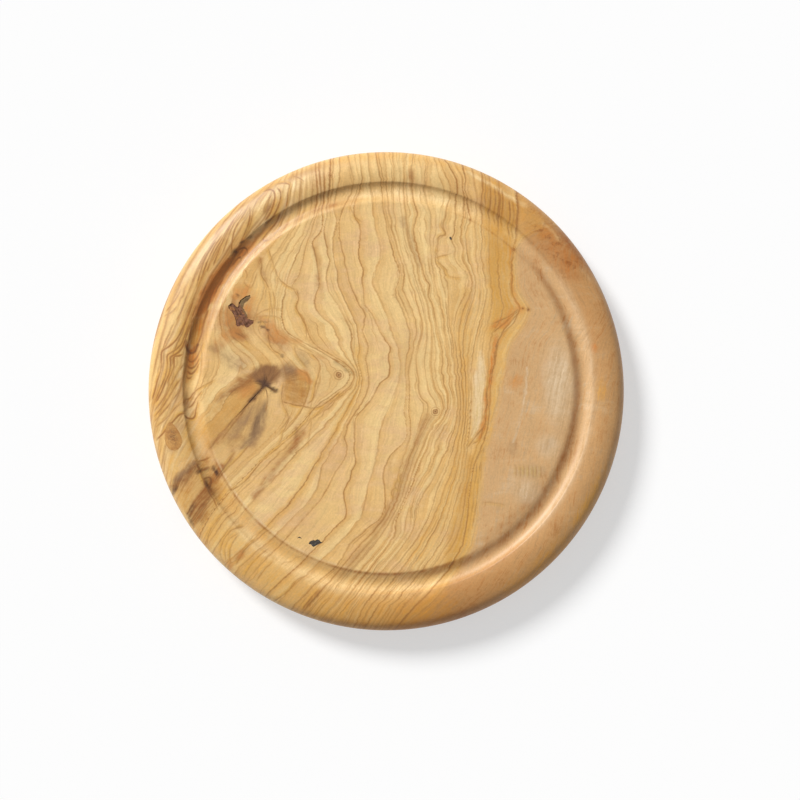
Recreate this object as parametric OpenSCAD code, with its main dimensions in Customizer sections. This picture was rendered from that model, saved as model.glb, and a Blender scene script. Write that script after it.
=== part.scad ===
// Round serving board, turned from one plank of olive wood.
// The underside lies on Z = 0 with its centre at the origin, and the serving floor faces up.

/* [Board] */
// Diameter across the outer edge
board_d = 300; // [280:1:340]
// Height of the rim's crest above the underside
rim_h = 25; // [20:0.5:32]
// Depth of the serving floor below the rim's crest
floor_drop = 1.2; // [1:0.1:2.4]

/* [Edge] */
// Distance of the rim's crest in from the outer edge
crest_inset = 15; // [14:0.5:17]
// Radius of the rim's crowned top
crest_round = 26; // [22:0.5:32]
// Radius of the rim's outer shoulder
shoulder_round = 9; // [6:0.5:10]
// Radius of the lower outer edge
edge_round = 10; // [4:0.5:12]
// Least height of the straight band between the two edge radii
edge_band = 1; // [0.5:0.1:3]

/* [Juice groove] */
// Radius of the groove's bottom, which runs on up to the rim
groove_round = 6.8; // [6:0.1:8]
// Depth of the groove below the serving floor
groove_depth = 2.6; // [2:0.1:3.4]
// Distance of the groove's lowest line in from the outer edge
groove_inset = 27.2; // [26.5:0.1:29]
// Slope from the serving floor into the groove, in degrees
groove_slope = 27; // [22:1:36]

/* [Bark inclusion] */
// Distance of the bark's middle in from the edge of the serving floor
bark_inset = 12.5; // [12:0.1:40]
// Angle of the bark round the board, from the right and anticlockwise
bark_angle = 152.5; // [130:0.5:170]
// Depth of the bark below the serving floor
bark_depth = 6; // [3:0.5:10]

/* [Rim knot] */
// Distance of the knot's middle in from the outer edge
knot_inset = 13.5; // [10:0.5:15]
// Angle of the knot round the board, from the right and anticlockwise
knot_angle = 193; // [180:1:210]
// Width of the knot across the rim
knot_w = 10; // [6:0.5:12]
// Length of the knot along the rim
knot_l = 18; // [12:0.5:22]
// Narrowing of the knot towards its back end, as a share of its width
knot_narrow = 0.35; // [0:0.05:0.5]
// Depth of the knot below the rim's crest
knot_depth = 12; // [8:0.5:14]

/* [Large filled void] */
// Distance of the large void's middle in from the edge of the serving floor
large_void_inset = 9.8; // [8:0.1:60]
// Angle of the large void round the board, from the right and anticlockwise
large_void_angle = 245.8; // [200:0.1:300]
// Depth of the large void below the serving floor
large_void_depth = 5; // [2:0.5:10]

/* [Small filled void] */
// Distance of the small void's middle in from the edge of the serving floor
small_void_inset = 8.2; // [5:0.1:60]
// Angle of the small void round the board, from the right and anticlockwise
small_void_angle = 240.2; // [200:0.1:242]
// Depth of the small void below the serving floor
small_void_depth = 2.5; // [1:0.5:6]

/* [Pin void] */
// Distance of the pin void's middle in from the edge of the serving floor
pin_void_inset = 13.5; // [5:0.1:60]
// Angle of the pin void round the board, from the right and anticlockwise
pin_void_angle = 66.7; // [40:0.1:120]
// Width of the pin void
pin_void_w = 1.3; // [0.8:0.1:3]
// Length of the pin void
pin_void_l = 2.2; // [1.2:0.1:4]
// Slant of the pin void, from the right and anticlockwise
pin_void_slant = 120; // [0:5:180]
// Depth of the pin void below the serving floor
pin_void_depth = 2.5; // [1:0.5:6]

/* [Hidden] */
$fn = 96;

outer_r = board_d / 2;
floor_h = rim_h - floor_drop;

// The shoulder runs into the crowned top without a break, where both arcs face the same way
crest_r = outer_r - crest_inset;
crest_h = rim_h - crest_round;
shoulder_r = outer_r - shoulder_round;
arc_gap = crest_round - shoulder_round;
shoulder_h = crest_h + sqrt(pow(arc_gap, 2) - pow(shoulder_r - crest_r, 2));
meet_r = crest_r + (shoulder_r - crest_r) * crest_round / arc_gap;
lower_r = min(edge_round, shoulder_h - edge_band);

// The slope from the floor runs into the groove's round bottom without a break
groove_r = outer_r - groove_inset;
groove_h = floor_h - groove_depth + groove_round;
slope_r = groove_r - groove_round * sin(groove_slope);
slope_h = groove_h - groove_round * cos(groove_slope);
floor_r = slope_r - (floor_h - slope_h) / tan(groove_slope);

// The space of an inclusion reaches this far above the rim's crest, clear of every surface
space_proud = 2;

// Ragged outline of the bark, with its two prongs at the back and its toe at the right
bark_outline = [
    [-8, 5.5], [-5, 6.5], [-3, 3.5], [-1.5, 4], [-1, 7.5], [2, 9.5],
    [6, 11], [6.2, 9.5], [4, 7.5], [1.5, 5], [1.7, 2], [4.2, -0.5],
    [4.5, -3.5], [8, -4.5], [8, -7], [5.5, -9], [3, -9.2], [0, -7.5],
    [-2, -8.8], [-3.2, -7.5], [-3.5, -3.5], [-5.5, 0.5], [-7.5, 2.5]
];
// Ragged outline of the large void
large_void_outline = [
    [-4.5, -0.2], [-3.5, 1], [-1.5, 1.9], [-0.5, 1.4], [0.9, 2.3], [2.5, 1.7], [3, 0.8], [4.3, 0.2],
    [3, -0.3], [1.5, -1], [-0.3, -2], [-1.5, -2.5], [-2.3, -1.8], [-3, -0.9], [-4, -0.8]
];
// Crescent outline of the small void
small_void_outline = [
    [-1.5, -0.6], [-0.9, 0.2], [-0.2, 0.6], [0.5, 0.3], [1.5, -0.8], [0.4, -0.3], [-0.4, -0.2]
];

// Points round an oval that narrows towards its far end
function oval(w, l, narrow) = [
    for (a = [0 : 15 : 345]) [w / 2 * cos(a) * (1 - narrow * sin(a)), l / 2 * sin(a)]
];

// Half of the board's section, right of the axis
module section() {
    difference() {
        union() {
            square([crest_r, floor_h]);
            // The crowned top of the rim
            intersection() {
                translate([crest_r, crest_h]) circle(r = crest_round);
                translate([groove_r, shoulder_h]) square([meet_r - groove_r, crest_round]);
            }
            // The rim's outer shoulder
            intersection() {
                translate([shoulder_r, shoulder_h]) circle(r = shoulder_round);
                translate([meet_r, shoulder_h]) square([outer_r - meet_r, shoulder_round]);
            }
            // The straight band and the rounded lower edge
            translate([0, lower_r]) square([outer_r, shoulder_h - lower_r]);
            square([outer_r - lower_r, lower_r]);
            intersection() {
                translate([outer_r - lower_r, lower_r]) circle(r = lower_r);
                translate([outer_r - lower_r, 0]) square(lower_r);
            }
        }
        // The juice groove, with its slope carried on upwards clear of the floor
        translate([groove_r, groove_h]) circle(r = groove_round);
        polygon([
            [floor_r - space_proud / tan(groove_slope), floor_h + space_proud],
            [slope_r, slope_h],
            [groove_r, groove_h]
        ]);
    }
}

// The whole turned form, before anything is let into it
module turned_form() {
    rotate_extrude() section();
}

// The space an inclusion takes, from its foot upwards past the surface
module inclusion(reach, angle, foot_h, points, turn = 0) {
    translate([reach * cos(angle), reach * sin(angle), foot_h])
        rotate(turn)
            linear_extrude(rim_h + space_proud - foot_h)
                polygon(points);
}

module bark_space() {
    inclusion(floor_r - bark_inset, bark_angle, floor_h - bark_depth, bark_outline);
}

module rim_knot_space() {
    knot_outline = oval(knot_w, knot_l, knot_narrow);
    inclusion(outer_r - knot_inset, knot_angle, rim_h - knot_depth, knot_outline, knot_angle - 180);
}

module large_void_space() {
    inclusion(floor_r - large_void_inset, large_void_angle, floor_h - large_void_depth, large_void_outline);
}

module small_void_space() {
    inclusion(floor_r - small_void_inset, small_void_angle, floor_h - small_void_depth, small_void_outline);
}

module pin_void_space() {
    foot_h = floor_h - pin_void_depth;
    pin_outline = oval(pin_void_l, pin_void_w, 0);
    inclusion(floor_r - pin_void_inset, pin_void_angle, foot_h, pin_outline, pin_void_slant);
}

module board() {
    color("burlywood") difference() {
        turned_form();
        bark_space();
        rim_knot_space();
        large_void_space();
        small_void_space();
        pin_void_space();
    }
}

module bark_inclusion() {
    color("saddlebrown") intersection() {
        turned_form();
        bark_space();
    }
}

module rim_knot() {
    color("peru") intersection() {
        turned_form();
        rim_knot_space();
    }
}

module large_void_fill() {
    color("black") intersection() {
        turned_form();
        large_void_space();
    }
}

module small_void_fill() {
    color("black") intersection() {
        turned_form();
        small_void_space();
    }
}

module pin_void_fill() {
    color("black") intersection() {
        turned_form();
        pin_void_space();
    }
}

board();
bark_inclusion();
rim_knot();
large_void_fill();
small_void_fill();
pin_void_fill();
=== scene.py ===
"""Looks of a round serving board turned from one plank of olive wood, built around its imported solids."""

import math

import bmesh
import bpy
import numpy as np
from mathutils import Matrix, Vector, noise


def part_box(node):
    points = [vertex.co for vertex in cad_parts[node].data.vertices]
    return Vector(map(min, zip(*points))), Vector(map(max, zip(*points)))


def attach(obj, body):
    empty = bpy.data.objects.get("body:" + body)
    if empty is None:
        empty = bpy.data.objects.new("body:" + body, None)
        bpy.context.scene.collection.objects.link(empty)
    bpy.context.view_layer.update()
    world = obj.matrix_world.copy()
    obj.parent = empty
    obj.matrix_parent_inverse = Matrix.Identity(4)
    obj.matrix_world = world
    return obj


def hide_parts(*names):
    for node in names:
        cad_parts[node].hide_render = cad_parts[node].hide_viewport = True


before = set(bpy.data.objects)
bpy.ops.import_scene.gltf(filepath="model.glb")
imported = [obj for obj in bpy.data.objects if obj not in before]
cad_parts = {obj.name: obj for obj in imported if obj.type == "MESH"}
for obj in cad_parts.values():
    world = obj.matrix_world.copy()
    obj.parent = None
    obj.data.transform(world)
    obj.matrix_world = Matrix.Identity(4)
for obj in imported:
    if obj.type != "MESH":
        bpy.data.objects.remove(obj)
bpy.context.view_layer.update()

bl_info = {
    "name": "Turned serving board",
    "version": (1, 0, 0),
    "blender": (4, 5, 0),
    "location": "View3D > Sidebar > Serving board",
    "description": "Builds the looks of a turned olive wood serving board around its solids",
    "category": "Add Mesh",
}

MM = 0.001
BOARD_LOW, BOARD_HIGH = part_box("board")

# Where the wander of ragged edges and of stains starts, so that every run gives the same board
WANDER_SEED = 11

# The drawing of the plank's figure is a little larger than the board: x and y of the drawing at a place on
# the board are scale * place + shift, in millimetres.
DRAWING_SCALE, DRAWING_SHIFT = (1.0109, 1.0071), (-0.1, 1.2)

# Growth lines of the plank seen from above, left to right, each from the back to the front of the board:
# how dark the line is drawn, and its points in millimetres from the board's centre.
GROWTH_LINES = (
    (0.45, ((-104, 112), (-118, 92), (-128, 74), (-134, 60), (-139, 45), (-143, 30), (-147, 12), (-150, -5),
           (-153, -30), (-155, -60), (-157, -110))),
    (0.45, ((-93, 116), (-107, 98), (-117, 80), (-124, 64), (-130, 48), (-136, 34), (-140, 26), (-141, 16),
           (-144, 2), (-148, -14), (-151, -40), (-153, -62), (-154, -110))),
    (0.45, ((-84, 122), (-96, 106), (-106, 90), (-114, 76), (-121, 60), (-126, 46), (-130, 34), (-134, 24),
           (-136, 14), (-138, 2), (-142, -12), (-146, -24), (-149, -44), (-150, -62), (-151, -110))),
    (0.5, ((-76, 128), (-86, 114), (-94, 100), (-101, 88), (-109, 76), (-116, 62), (-121, 48), (-123, 36),
           (-125, 24), (-127, 12), (-131, -2), (-136, -14), (-141, -26), (-145, -42), (-147, -62),
           (-148, -110))),
    (0.5, ((-68, 134), (-73, 126), (-78, 112), (-86, 102), (-95, 88), (-103, 74), (-110, 62), (-114, 50),
           (-116, 38), (-117, 26), (-117, 14), (-119, 4), (-124, -8), (-130, -18), (-137, -30), (-141, -44),
           (-144, -62), (-146, -110))),
    (0.5, ((-64, 138), (-66, 128), (-70, 114), (-77, 104), (-86, 92), (-96, 78), (-103, 66), (-107, 54),
           (-108, 42), (-108, 30), (-106, 20), (-107, 12), (-112, 2), (-118, -8), (-125, -20), (-132, -34),
           (-137, -48), (-140, -62), (-143, -110))),
    (0.4, ((-60, 138), (-62, 128), (-65, 115), (-70, 104), (-79, 93), (-90, 80), (-98, 67), (-103, 55),
           (-103, 43), (-100, 33), (-93, 25), (-85, 18), (-84, 11), (-92, 5), (-100, -1), (-108, -9),
           (-117, -20), (-126, -34), (-133, -48), (-137, -62), (-141, -110))),
    (0.4, ((-57, 139), (-58, 128), (-60, 116), (-65, 103), (-73, 91), (-79, 82), (-84, 72), (-89, 60),
           (-94, 47), (-90, 37), (-82, 26), (-75, 19), (-73, 12), (-78, 2), (-84, -5), (-90, -12),
           (-97, -20), (-104, -28), (-112, -38), (-120, -50), (-128, -62), (-134, -75), (-140, -110))),
    (0.5, ((-54, 140), (-55, 128), (-56, 116), (-60, 103), (-67, 92), (-75, 80), (-77, 70), (-78, 60),
           (-82, 50), (-84, 38), (-76, 28), (-68, 20), (-64, 12), (-63, 4), (-65, -3), (-64, -10),
           (-63, -16), (-68, -25), (-77, -34), (-88, -44), (-98, -54), (-107, -64), (-116, -74),
           (-125, -86), (-136, -110))),
    (0.45, ((-51, 141), (-51, 128), (-52, 116), (-56, 104), (-62, 93), (-69, 82), (-73, 72), (-73, 62),
           (-73, 54), (-74, 46), (-75, 38), (-70, 29), (-62, 20), (-56, 13), (-51, 10), (-49, 4),
           (-50, -4), (-53, -12), (-59, -20), (-66, -27), (-76, -36), (-87, -46), (-97, -57),
           (-106, -67), (-115, -78), (-123, -90), (-131, -110))),
    (0.45, ((-48, 142), (-47, 128), (-48, 116), (-51, 105), (-56, 95), (-63, 84), (-68, 73), (-70, 64),
           (-70, 57), (-71, 50), (-71, 44), (-68, 35), (-60, 29), (-51, 24), (-44, 18), (-42, 10),
           (-44, 1), (-46, -8), (-49, -14), (-55, -22), (-62, -29), (-70, -36), (-80, -45), (-90, -55),
           (-100, -65), (-108, -75), (-117, -88), (-127, -110))),
    (1.0, ((-45, 142), (-44, 130), (-45, 116), (-48, 106), (-51, 99), (-55, 90), (-60, 78), (-63, 68),
           (-65, 58), (-66, 50), (-66, 44), (-64, 38), (-57, 32), (-49, 28), (-40, 23), (-32, 18.5),
           (-26, 14), (-23, 10), (-24, 5), (-29, 0), (-36, -5), (-43, -10), (-49, -16), (-56, -24),
           (-64, -31), (-73, -39), (-82, -47), (-91, -56), (-99, -64), (-107, -74), (-115, -87),
           (-124, -110))),
    (0.8, ((-43, 143), (-42, 132), (-42, 118), (-46, 108), (-49, 98), (-52, 88), (-54, 78), (-57, 70),
           (-60, 66), (-58, 62), (-55.5, 57), (-57, 52), (-54, 46), (-51.5, 41), (-49, 34), (-44, 27),
           (-35, 21.5), (-27, 17), (-21.5, 12), (-20.5, 7), (-24, 1), (-31, -5), (-39, -11), (-46, -18),
           (-53, -26), (-61, -34), (-70, -43), (-79, -52), (-88, -61), (-96, -70), (-105, -82),
           (-121, -110))),
    (0.9, ((-40, 143), (-39.5, 132), (-40, 120), (-41, 112), (-41.5, 101), (-47, 94), (-45.5, 87),
           (-44, 80),
           (-43, 72), (-42.5, 66), (-45, 58), (-45, 52), (-40, 45), (-33.5, 39), (-31.5, 34), (-29, 27),
           (-25, 20), (-20, 13), (-18.5, 7), (-20, 1), (-25, -6), (-31, -14), (-38, -22), (-46, -30),
           (-54, -38), (-63, -48), (-72, -58), (-81, -67), (-90, -77), (-99, -88), (-116, -112))),
    (1.0, ((-36, 143), (-36, 134), (-37, 124), (-38, 112), (-40, 101), (-38.5, 94), (-37.5, 90),
           (-37.5, 86),
           (-36, 82), (-37.5, 76), (-38, 68), (-36.5, 62), (-33, 57), (-30, 51), (-27, 46), (-24, 40),
           (-22, 34), (-22, 27), (-20.5, 20), (-18, 13), (-17, 7), (-18, 1), (-21, -5), (-25, -13),
           (-29, -21), (-34, -30), (-40, -40), (-46, -50), (-52, -60), (-57, -67), (-65, -76), (-75, -86),
           (-84, -95), (-94, -104), (-110, -118))),
    (0.8, ((-30, 146), (-30, 136), (-32, 126), (-33.5, 119), (-33, 112), (-31.5, 106), (-32.5, 103),
           (-34, 96),
           (-34, 88), (-33, 80), (-31, 73), (-31, 68), (-28, 60), (-25, 53), (-21.5, 46), (-19, 40),
           (-18, 34), (-17, 26), (-18, 19), (-16.5, 11), (-15.5, 6), (-16.5, 0), (-19, -7), (-22, -14),
           (-25.5, -22), (-30, -31), (-35, -40), (-40, -48), (-42, -56), (-45, -65), (-52, -74), (-60, -82),
           (-68, -90), (-78, -99), (-90, -110), (-102, -124))),
    (0.8, ((-24, 147), (-22, 138), (-21, 130), (-26, 118), (-30, 108), (-30.5, 98), (-29, 92), (-28, 88),
           (-27, 85), (-26.5, 80), (-25, 75), (-23.5, 68), (-20, 60), (-17, 54), (-13.5, 48), (-14, 42),
           (-15, 36), (-13, 31), (-12, 25), (-13, 19), (-12, 12), (-11, 5), (-12, -1), (-15, -7),
           (-19, -14), (-25, -25), (-26, -31), (-24.5, -37), (-27, -45), (-33, -54), (-37, -62), (-42, -70),
           (-49, -78), (-57, -87), (-65, -96), (-75, -106), (-86, -118), (-96, -130))),
    (1.0, ((-17, 148), (-16, 138), (-16, 130), (-20, 118), (-20, 110), (-17, 104), (-17, 96), (-18, 88),
           (-17, 82), (-15, 76), (-15.5, 69), (-14.5, 61), (-14, 55), (-11, 50), (-8.5, 46), (-6, 41),
           (-3, 36), (0, 31), (2.3, 26.5), (1.5, 20), (2, 12), (0.5, 7.5), (-4, 4), (-7, -2),
           (-10, -7), (-15, -12.5), (-19, -17), (-20, -24), (-20, -32), (-20, -41), (-19.5, -46),
           (-22, -52),
           (-23.5, -58), (-26.5, -64), (-26.5, -69), (-25.5, -74), (-26, -81), (-33, -88), (-40, -96),
           (-48, -104), (-58, -113), (-70, -124), (-82, -136))),
    (0.5, ((-11.5, 149), (-11, 140), (-10, 130), (-9, 120), (-8, 112), (-7, 104), (-5.5, 97), (-4, 90),
           (-4, 84), (-6, 78), (-9, 72), (-8, 65), (-5.3, 60), (-2.2, 53.5), (0, 48), (2, 42),
           (4, 36), (6, 30), (8, 24), (9, 16), (8, 8), (6, 0), (3, -8), (0, -16),
           (-3, -24), (-5, -32), (-6, -40), (-8, -50), (-11, -60), (-13, -70), (-16, -80), (-22, -89),
           (-30, -97), (-39, -106), (-50, -116), (-62, -127), (-72, -138))),
    (0.9, ((-6.5, 149), (-5, 140), (-3, 132), (-2.5, 122), (-1.5, 112), (0, 107), (0.5, 100), (2, 95),
           (3.5, 90), (4, 86), (6, 81), (8, 76), (9, 71), (7, 66), (6, 60), (8.5, 54),
           (11, 48), (13, 42), (15, 36), (15, 30), (14, 24), (12.5, 16), (12.2, 8), (12.8, 0),
           (12, -8), (11.5, -16), (12.5, -22), (13.5, -28), (11, -34), (5, -39), (1, -44), (-1, -50),
           (-2, -56), (-1, -62), (-0.5, -70), (-2, -78), (-5, -83), (-10, -86), (-16, -91), (-22, -96),
           (-26, -104), (-32, -112), (-42, -120), (-52, -130), (-62, -141))),
    (0.8, ((-1.5, 150), (0, 140), (0.5, 131), (1, 121), (2, 112), (3.5, 107), (3, 103), (5, 97),
           (6.5, 92), (8, 86), (10, 80), (11, 74), (11, 68), (10.5, 64), (12.5, 59), (15, 53),
           (17.5, 47), (19, 41), (19, 35), (17.3, 28), (16.5, 21), (14.5, 14), (14, 7), (14.5, 0),
           (14, -8), (14, -16), (15, -23), (15, -30), (13, -37), (11, -44), (8, -52), (6.5, -58),
           (5, -64), (4, -70), (1, -76), (-2, -82), (-7, -88), (-14, -95), (-20, -102), (-26, -110),
           (-34, -119), (-44, -130), (-54, -142))),
    (0.7, ((4, 150), (5, 140), (5, 131), (4.5, 121), (4.5, 113), (6, 107), (5.5, 103), (8, 95),
           (9.5, 88), (11.5, 80), (13.5, 73), (15.5, 67), (18, 62), (18.5, 57), (20, 52), (22, 46),
           (23, 40), (22.5, 34), (20.5, 28), (19, 22), (19, 14), (20, 7), (20.5, 0), (22, -5),
           (26, -9), (26, -16), (23, -23), (20, -30), (17, -37), (14.5, -44), (12, -51), (10, -58),
           (8.5, -64), (6.5, -70), (3.5, -76), (0, -83), (-5, -90), (-12, -98), (-19, -106), (-26, -115),
           (-35, -125), (-46, -137))),
    (0.6, ((8.2, 150), (9, 140), (9, 130), (8.5, 121), (9.5, 113), (10.5, 106), (11, 99), (12.5, 93),
           (14.5, 87), (16, 80), (17.5, 73), (19.5, 67), (21, 62), (22.5, 57.5), (24, 52), (25, 46),
           (26, 40), (26, 34), (25, 27), (24, 20), (24.5, 12), (25.5, 5), (27, -2), (30.5, -7.5),
           (32, -12), (30, -17), (26.5, -23), (23, -29), (20, -36), (17, -43), (15, -50), (13, -57),
           (11, -63), (9, -69), (6.5, -75), (3, -82), (-2, -90), (-8, -98), (-15, -106), (-22, -115),
           (-30, -124), (-39, -135), (-46, -144))),
    (0.6, ((11.5, 149), (11.5, 140), (11.5, 131), (11.5, 122), (12, 113), (13, 105), (13.5, 98), (15, 92),
           (17, 86), (18.5, 80), (20, 73), (22, 66), (23.5, 61), (25, 57.5), (26.5, 52), (27.5, 46),
           (28.5, 40), (29, 33), (28.5, 26), (28, 19), (28.5, 12), (29.5, 5), (31.5, -1), (34.5, -5),
           (36, -10), (34.5, -16), (31, -21), (27.5, -27), (24.5, -33), (21.5, -40), (18, -48), (16, -55),
           (14, -62), (11.5, -69), (8.5, -76), (5, -83), (3, -90), (-1, -97), (-8, -105), (-16, -114),
           (-24, -124), (-32, -134), (-40, -144))),
    (0.9, ((17, 149), (16, 140), (16.5, 130), (17.5, 121), (19.3, 113), (18.5, 107), (17.5, 101),
           (18.3, 95),
           (19.5, 90), (20, 85), (21.5, 80), (23, 75), (25, 70), (27.5, 67), (27, 63), (26.5, 58.5),
           (29, 54), (30.5, 48), (31.5, 41), (33.5, 33), (35, 26), (35.5, 19), (35, 12), (36, 5),
           (38, -1), (38.7, -7), (38, -13), (35.5, -19), (31, -25), (27.5, -31), (25, -38), (21.5, -45),
           (19, -52), (16.5, -59), (13.5, -66), (10, -73), (6.5, -81), (5.5, -89), (2, -97), (-5, -106),
           (-13, -116), (-21, -126), (-29, -136), (-36, -146))),
    (0.4, ((26, 147), (26, 138), (25, 128), (26, 119), (28, 112), (28, 104), (27.5, 97), (28, 90),
           (28.5, 84), (29, 78), (30, 72), (31, 66), (33, 59), (34.5, 52), (36, 45), (37, 38),
           (37.5, 31), (38.5, 24), (40, 17), (40.7, 9), (41.8, 1), (42.5, -7), (42, -14), (40, -21),
           (36.5, -28), (33, -35), (30.5, -42), (28, -49), (24, -56), (20, -63), (17, -70), (15.5, -78),
           (15, -86), (10, -95), (4, -103), (-4, -112), (-12, -123), (-20, -133), (-27, -144))),
    (0.7, ((35, 144), (37.5, 137), (40, 131), (41, 124), (38.5, 116), (37.5, 110), (36, 104), (37.5, 99),
           (34, 96), (32.5, 91), (32, 86), (33.5, 80), (36, 74), (38, 67), (39.5, 59), (39, 50),
           (39.5, 43), (41, 36), (42, 28), (42.5, 20), (43.2, 12), (44, 4), (44.8, -4), (45, -12),
           (44, -20), (42, -28), (39.5, -35), (36, -42), (32.5, -49), (29, -57), (24, -65), (20, -73),
           (18.5, -81), (16.5, -88), (11, -97), (5, -105), (-3, -114), (-11, -125), (-18, -135),
           (-24, -145))),
    (0.9, ((40, 143), (43.5, 136), (45, 129), (44.5, 122), (44, 114), (43.5, 107), (43.5, 100), (42, 95),
           (44, 89.5), (43.5, 84.5), (46, 79), (50, 75), (52.3, 70.5), (52, 65), (49.5, 58.5), (46.5, 52.5),
           (44, 46.5), (43, 40), (43.5, 31), (44.5, 22), (45.3, 13), (46.2, 4), (47, -5), (46.8, -13),
           (46, -21), (44.5, -29), (42.5, -36), (40, -43), (37.5, -50), (34, -58), (31.5, -65), (29.5, -73),
           (26.5, -81), (22, -89), (17, -97), (10.5, -105.5), (3, -114), (-5, -124), (-13, -135),
           (-19, -146))),
    (0.8, ((45, 141.5), (48, 135), (48.5, 128), (50, 121), (49, 114), (48, 107), (47.5, 100), (47.5, 94),
           (49, 89), (48.5, 84), (50, 79), (53, 74), (54.5, 69), (54, 63), (52, 57), (49.5, 51),
           (47.5, 45), (46.3, 38), (46, 30), (47, 21), (47.6, 12), (48, 3), (48.8, -6), (48.6, -14),
           (47.8, -22), (46.5, -30), (44.7, -38), (42.7, -45), (40.5, -52), (37.5, -60), (34.8, -68),
           (31.5, -76), (28, -84), (23.5, -92), (19, -100), (12.5, -109), (5, -118), (-3, -128),
           (-11, -138), (-16, -147))),
    (0.9, ((49, 140), (50, 133), (49.5, 127), (51.5, 121), (52, 114), (53.3, 108), (51.5, 103), (50, 99),
           (50.5, 94), (51, 88), (52, 82), (54.5, 76), (56.5, 70), (56.5, 63), (55, 56), (52.7, 49),
           (50.5, 42), (49, 34), (48.6, 26), (49, 18), (50, 9), (50.3, 0), (50.5, -8), (50, -16),
           (49.3, -24), (48.2, -32), (46.7, -40), (45, -47), (43.2, -54), (40.7, -62), (38, -70), (35, -78),
           (31.5, -86), (27.5, -93), (22.5, -102), (16, -111), (9, -120), (0, -130), (-8, -140),
           (-13, -148))),
    (0.5, ((55, 138), (56, 131), (57.5, 124), (57.5, 116), (57, 108), (57, 100), (57, 92), (57, 84),
           (58, 77), (59.5, 70), (60, 62), (59.5, 54), (57.5, 46), (55, 38), (53, 30), (51.8, 22),
           (51.5, 14), (51.8, 6), (51.9, -2), (52, -10), (51.5, -18), (50.8, -26), (49.8, -34), (48.5, -42),
           (47, -50), (45.2, -58), (42.5, -66), (40, -74), (37.5, -82), (34.5, -90), (29.5, -99),
           (23.5, -108), (16, -117), (8, -126), (-2, -137), (-9, -147))),
    (0.9, ((61, 135), (61.5, 128), (60.5, 120), (61, 110), (60.5, 100), (60.5, 92), (60.3, 85), (61.5, 78),
           (63, 70), (63.5, 62), (62.5, 54), (60.5, 46), (58, 38), (56, 30), (54.5, 22), (53.5, 14),
           (53.2, 6), (53.3, -2), (53.2, -10), (52.8, -18), (52.2, -26), (51.4, -34), (50.2, -42),
           (49, -50),
           (47.6, -58), (45, -66), (42.5, -74), (40.3, -82), (37.5, -90), (32.5, -99), (26.5, -108),
           (19, -117), (11, -127), (1, -138), (-5, -147))),
    (0.5, ((66, 132), (66.5, 124), (66, 116), (65.5, 106), (65.5, 96), (65.5, 86), (65.5, 76), (66.5, 68),
           (67, 60), (66.5, 52), (65, 44), (62.5, 36), (60.5, 28), (61, 20), (62.5, 12), (62.5, 4),
           (61.5, -4), (61, -12), (60.5, -20), (57, -28), (54, -36), (52.3, -44), (51, -52), (49.5, -60),
           (47.5, -68), (45.5, -76), (43.5, -84), (41, -92), (36, -101), (30, -110), (22.5, -119),
           (14, -129), (5, -139), (0, -147))),
    (0.7, ((72, 129), (72.5, 122), (72, 114), (71.5, 105), (71, 95), (71, 85), (71, 75), (71.5, 66),
           (73, 58), (74, 50), (71.5, 43), (68, 37), (65.5, 30), (64.5, 22), (64.8, 14), (64, 6),
           (63.5, -3), (63.5, -11), (63, -19), (61.5, -27), (58, -34), (55, -41), (53.3, -48), (52, -56),
           (50.3, -64), (49, -72), (47.5, -80), (45.5, -88), (42, -97), (36, -106), (29, -115),
           (20, -126), (11, -136), (4, -146))),
    (1.0, ((83, 120), (83.5, 112), (83, 104), (82.5, 97), (81, 90), (80, 83), (79.5, 75), (79.5, 66),
           (80.5, 59), (83.5, 53.5), (84.5, 50.5), (83, 47), (80, 41.5), (75.5, 37), (71, 32), (69.2, 26),
           (68.5, 19), (67.5, 12), (66.3, 5), (65.5, -2), (65.2, -10), (64.8, -18), (63.5, -26),
           (61.5, -33), (58.5, -39), (55.8, -45), (54.2, -52), (53, -60), (52, -68), (51.2, -76),
           (50.3, -84), (49, -92), (46.5, -101), (41, -110), (34, -119), (25, -129), (16, -138),
           (8, -147))),
    (0.3, ((108, 104), (100, 102), (92, 99), (86, 95), (83, 90), (82, 82), (82, 73), (83.5, 64),
           (87, 57), (90, 50.5), (88, 44), (84, 37), (79, 30), (76.5, 23), (75, 15), (73, 8),
           (71, 0), (69.5, -8), (67, -17), (65, -25), (63, -33), (61, -42), (60, -52), (58.8, -65),
           (57.3, -76), (55.5, -88), (52, -101), (47, -109), (41, -118), (36.5, -125), (30, -132),
           (22, -139), (12, -147))),
)

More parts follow.
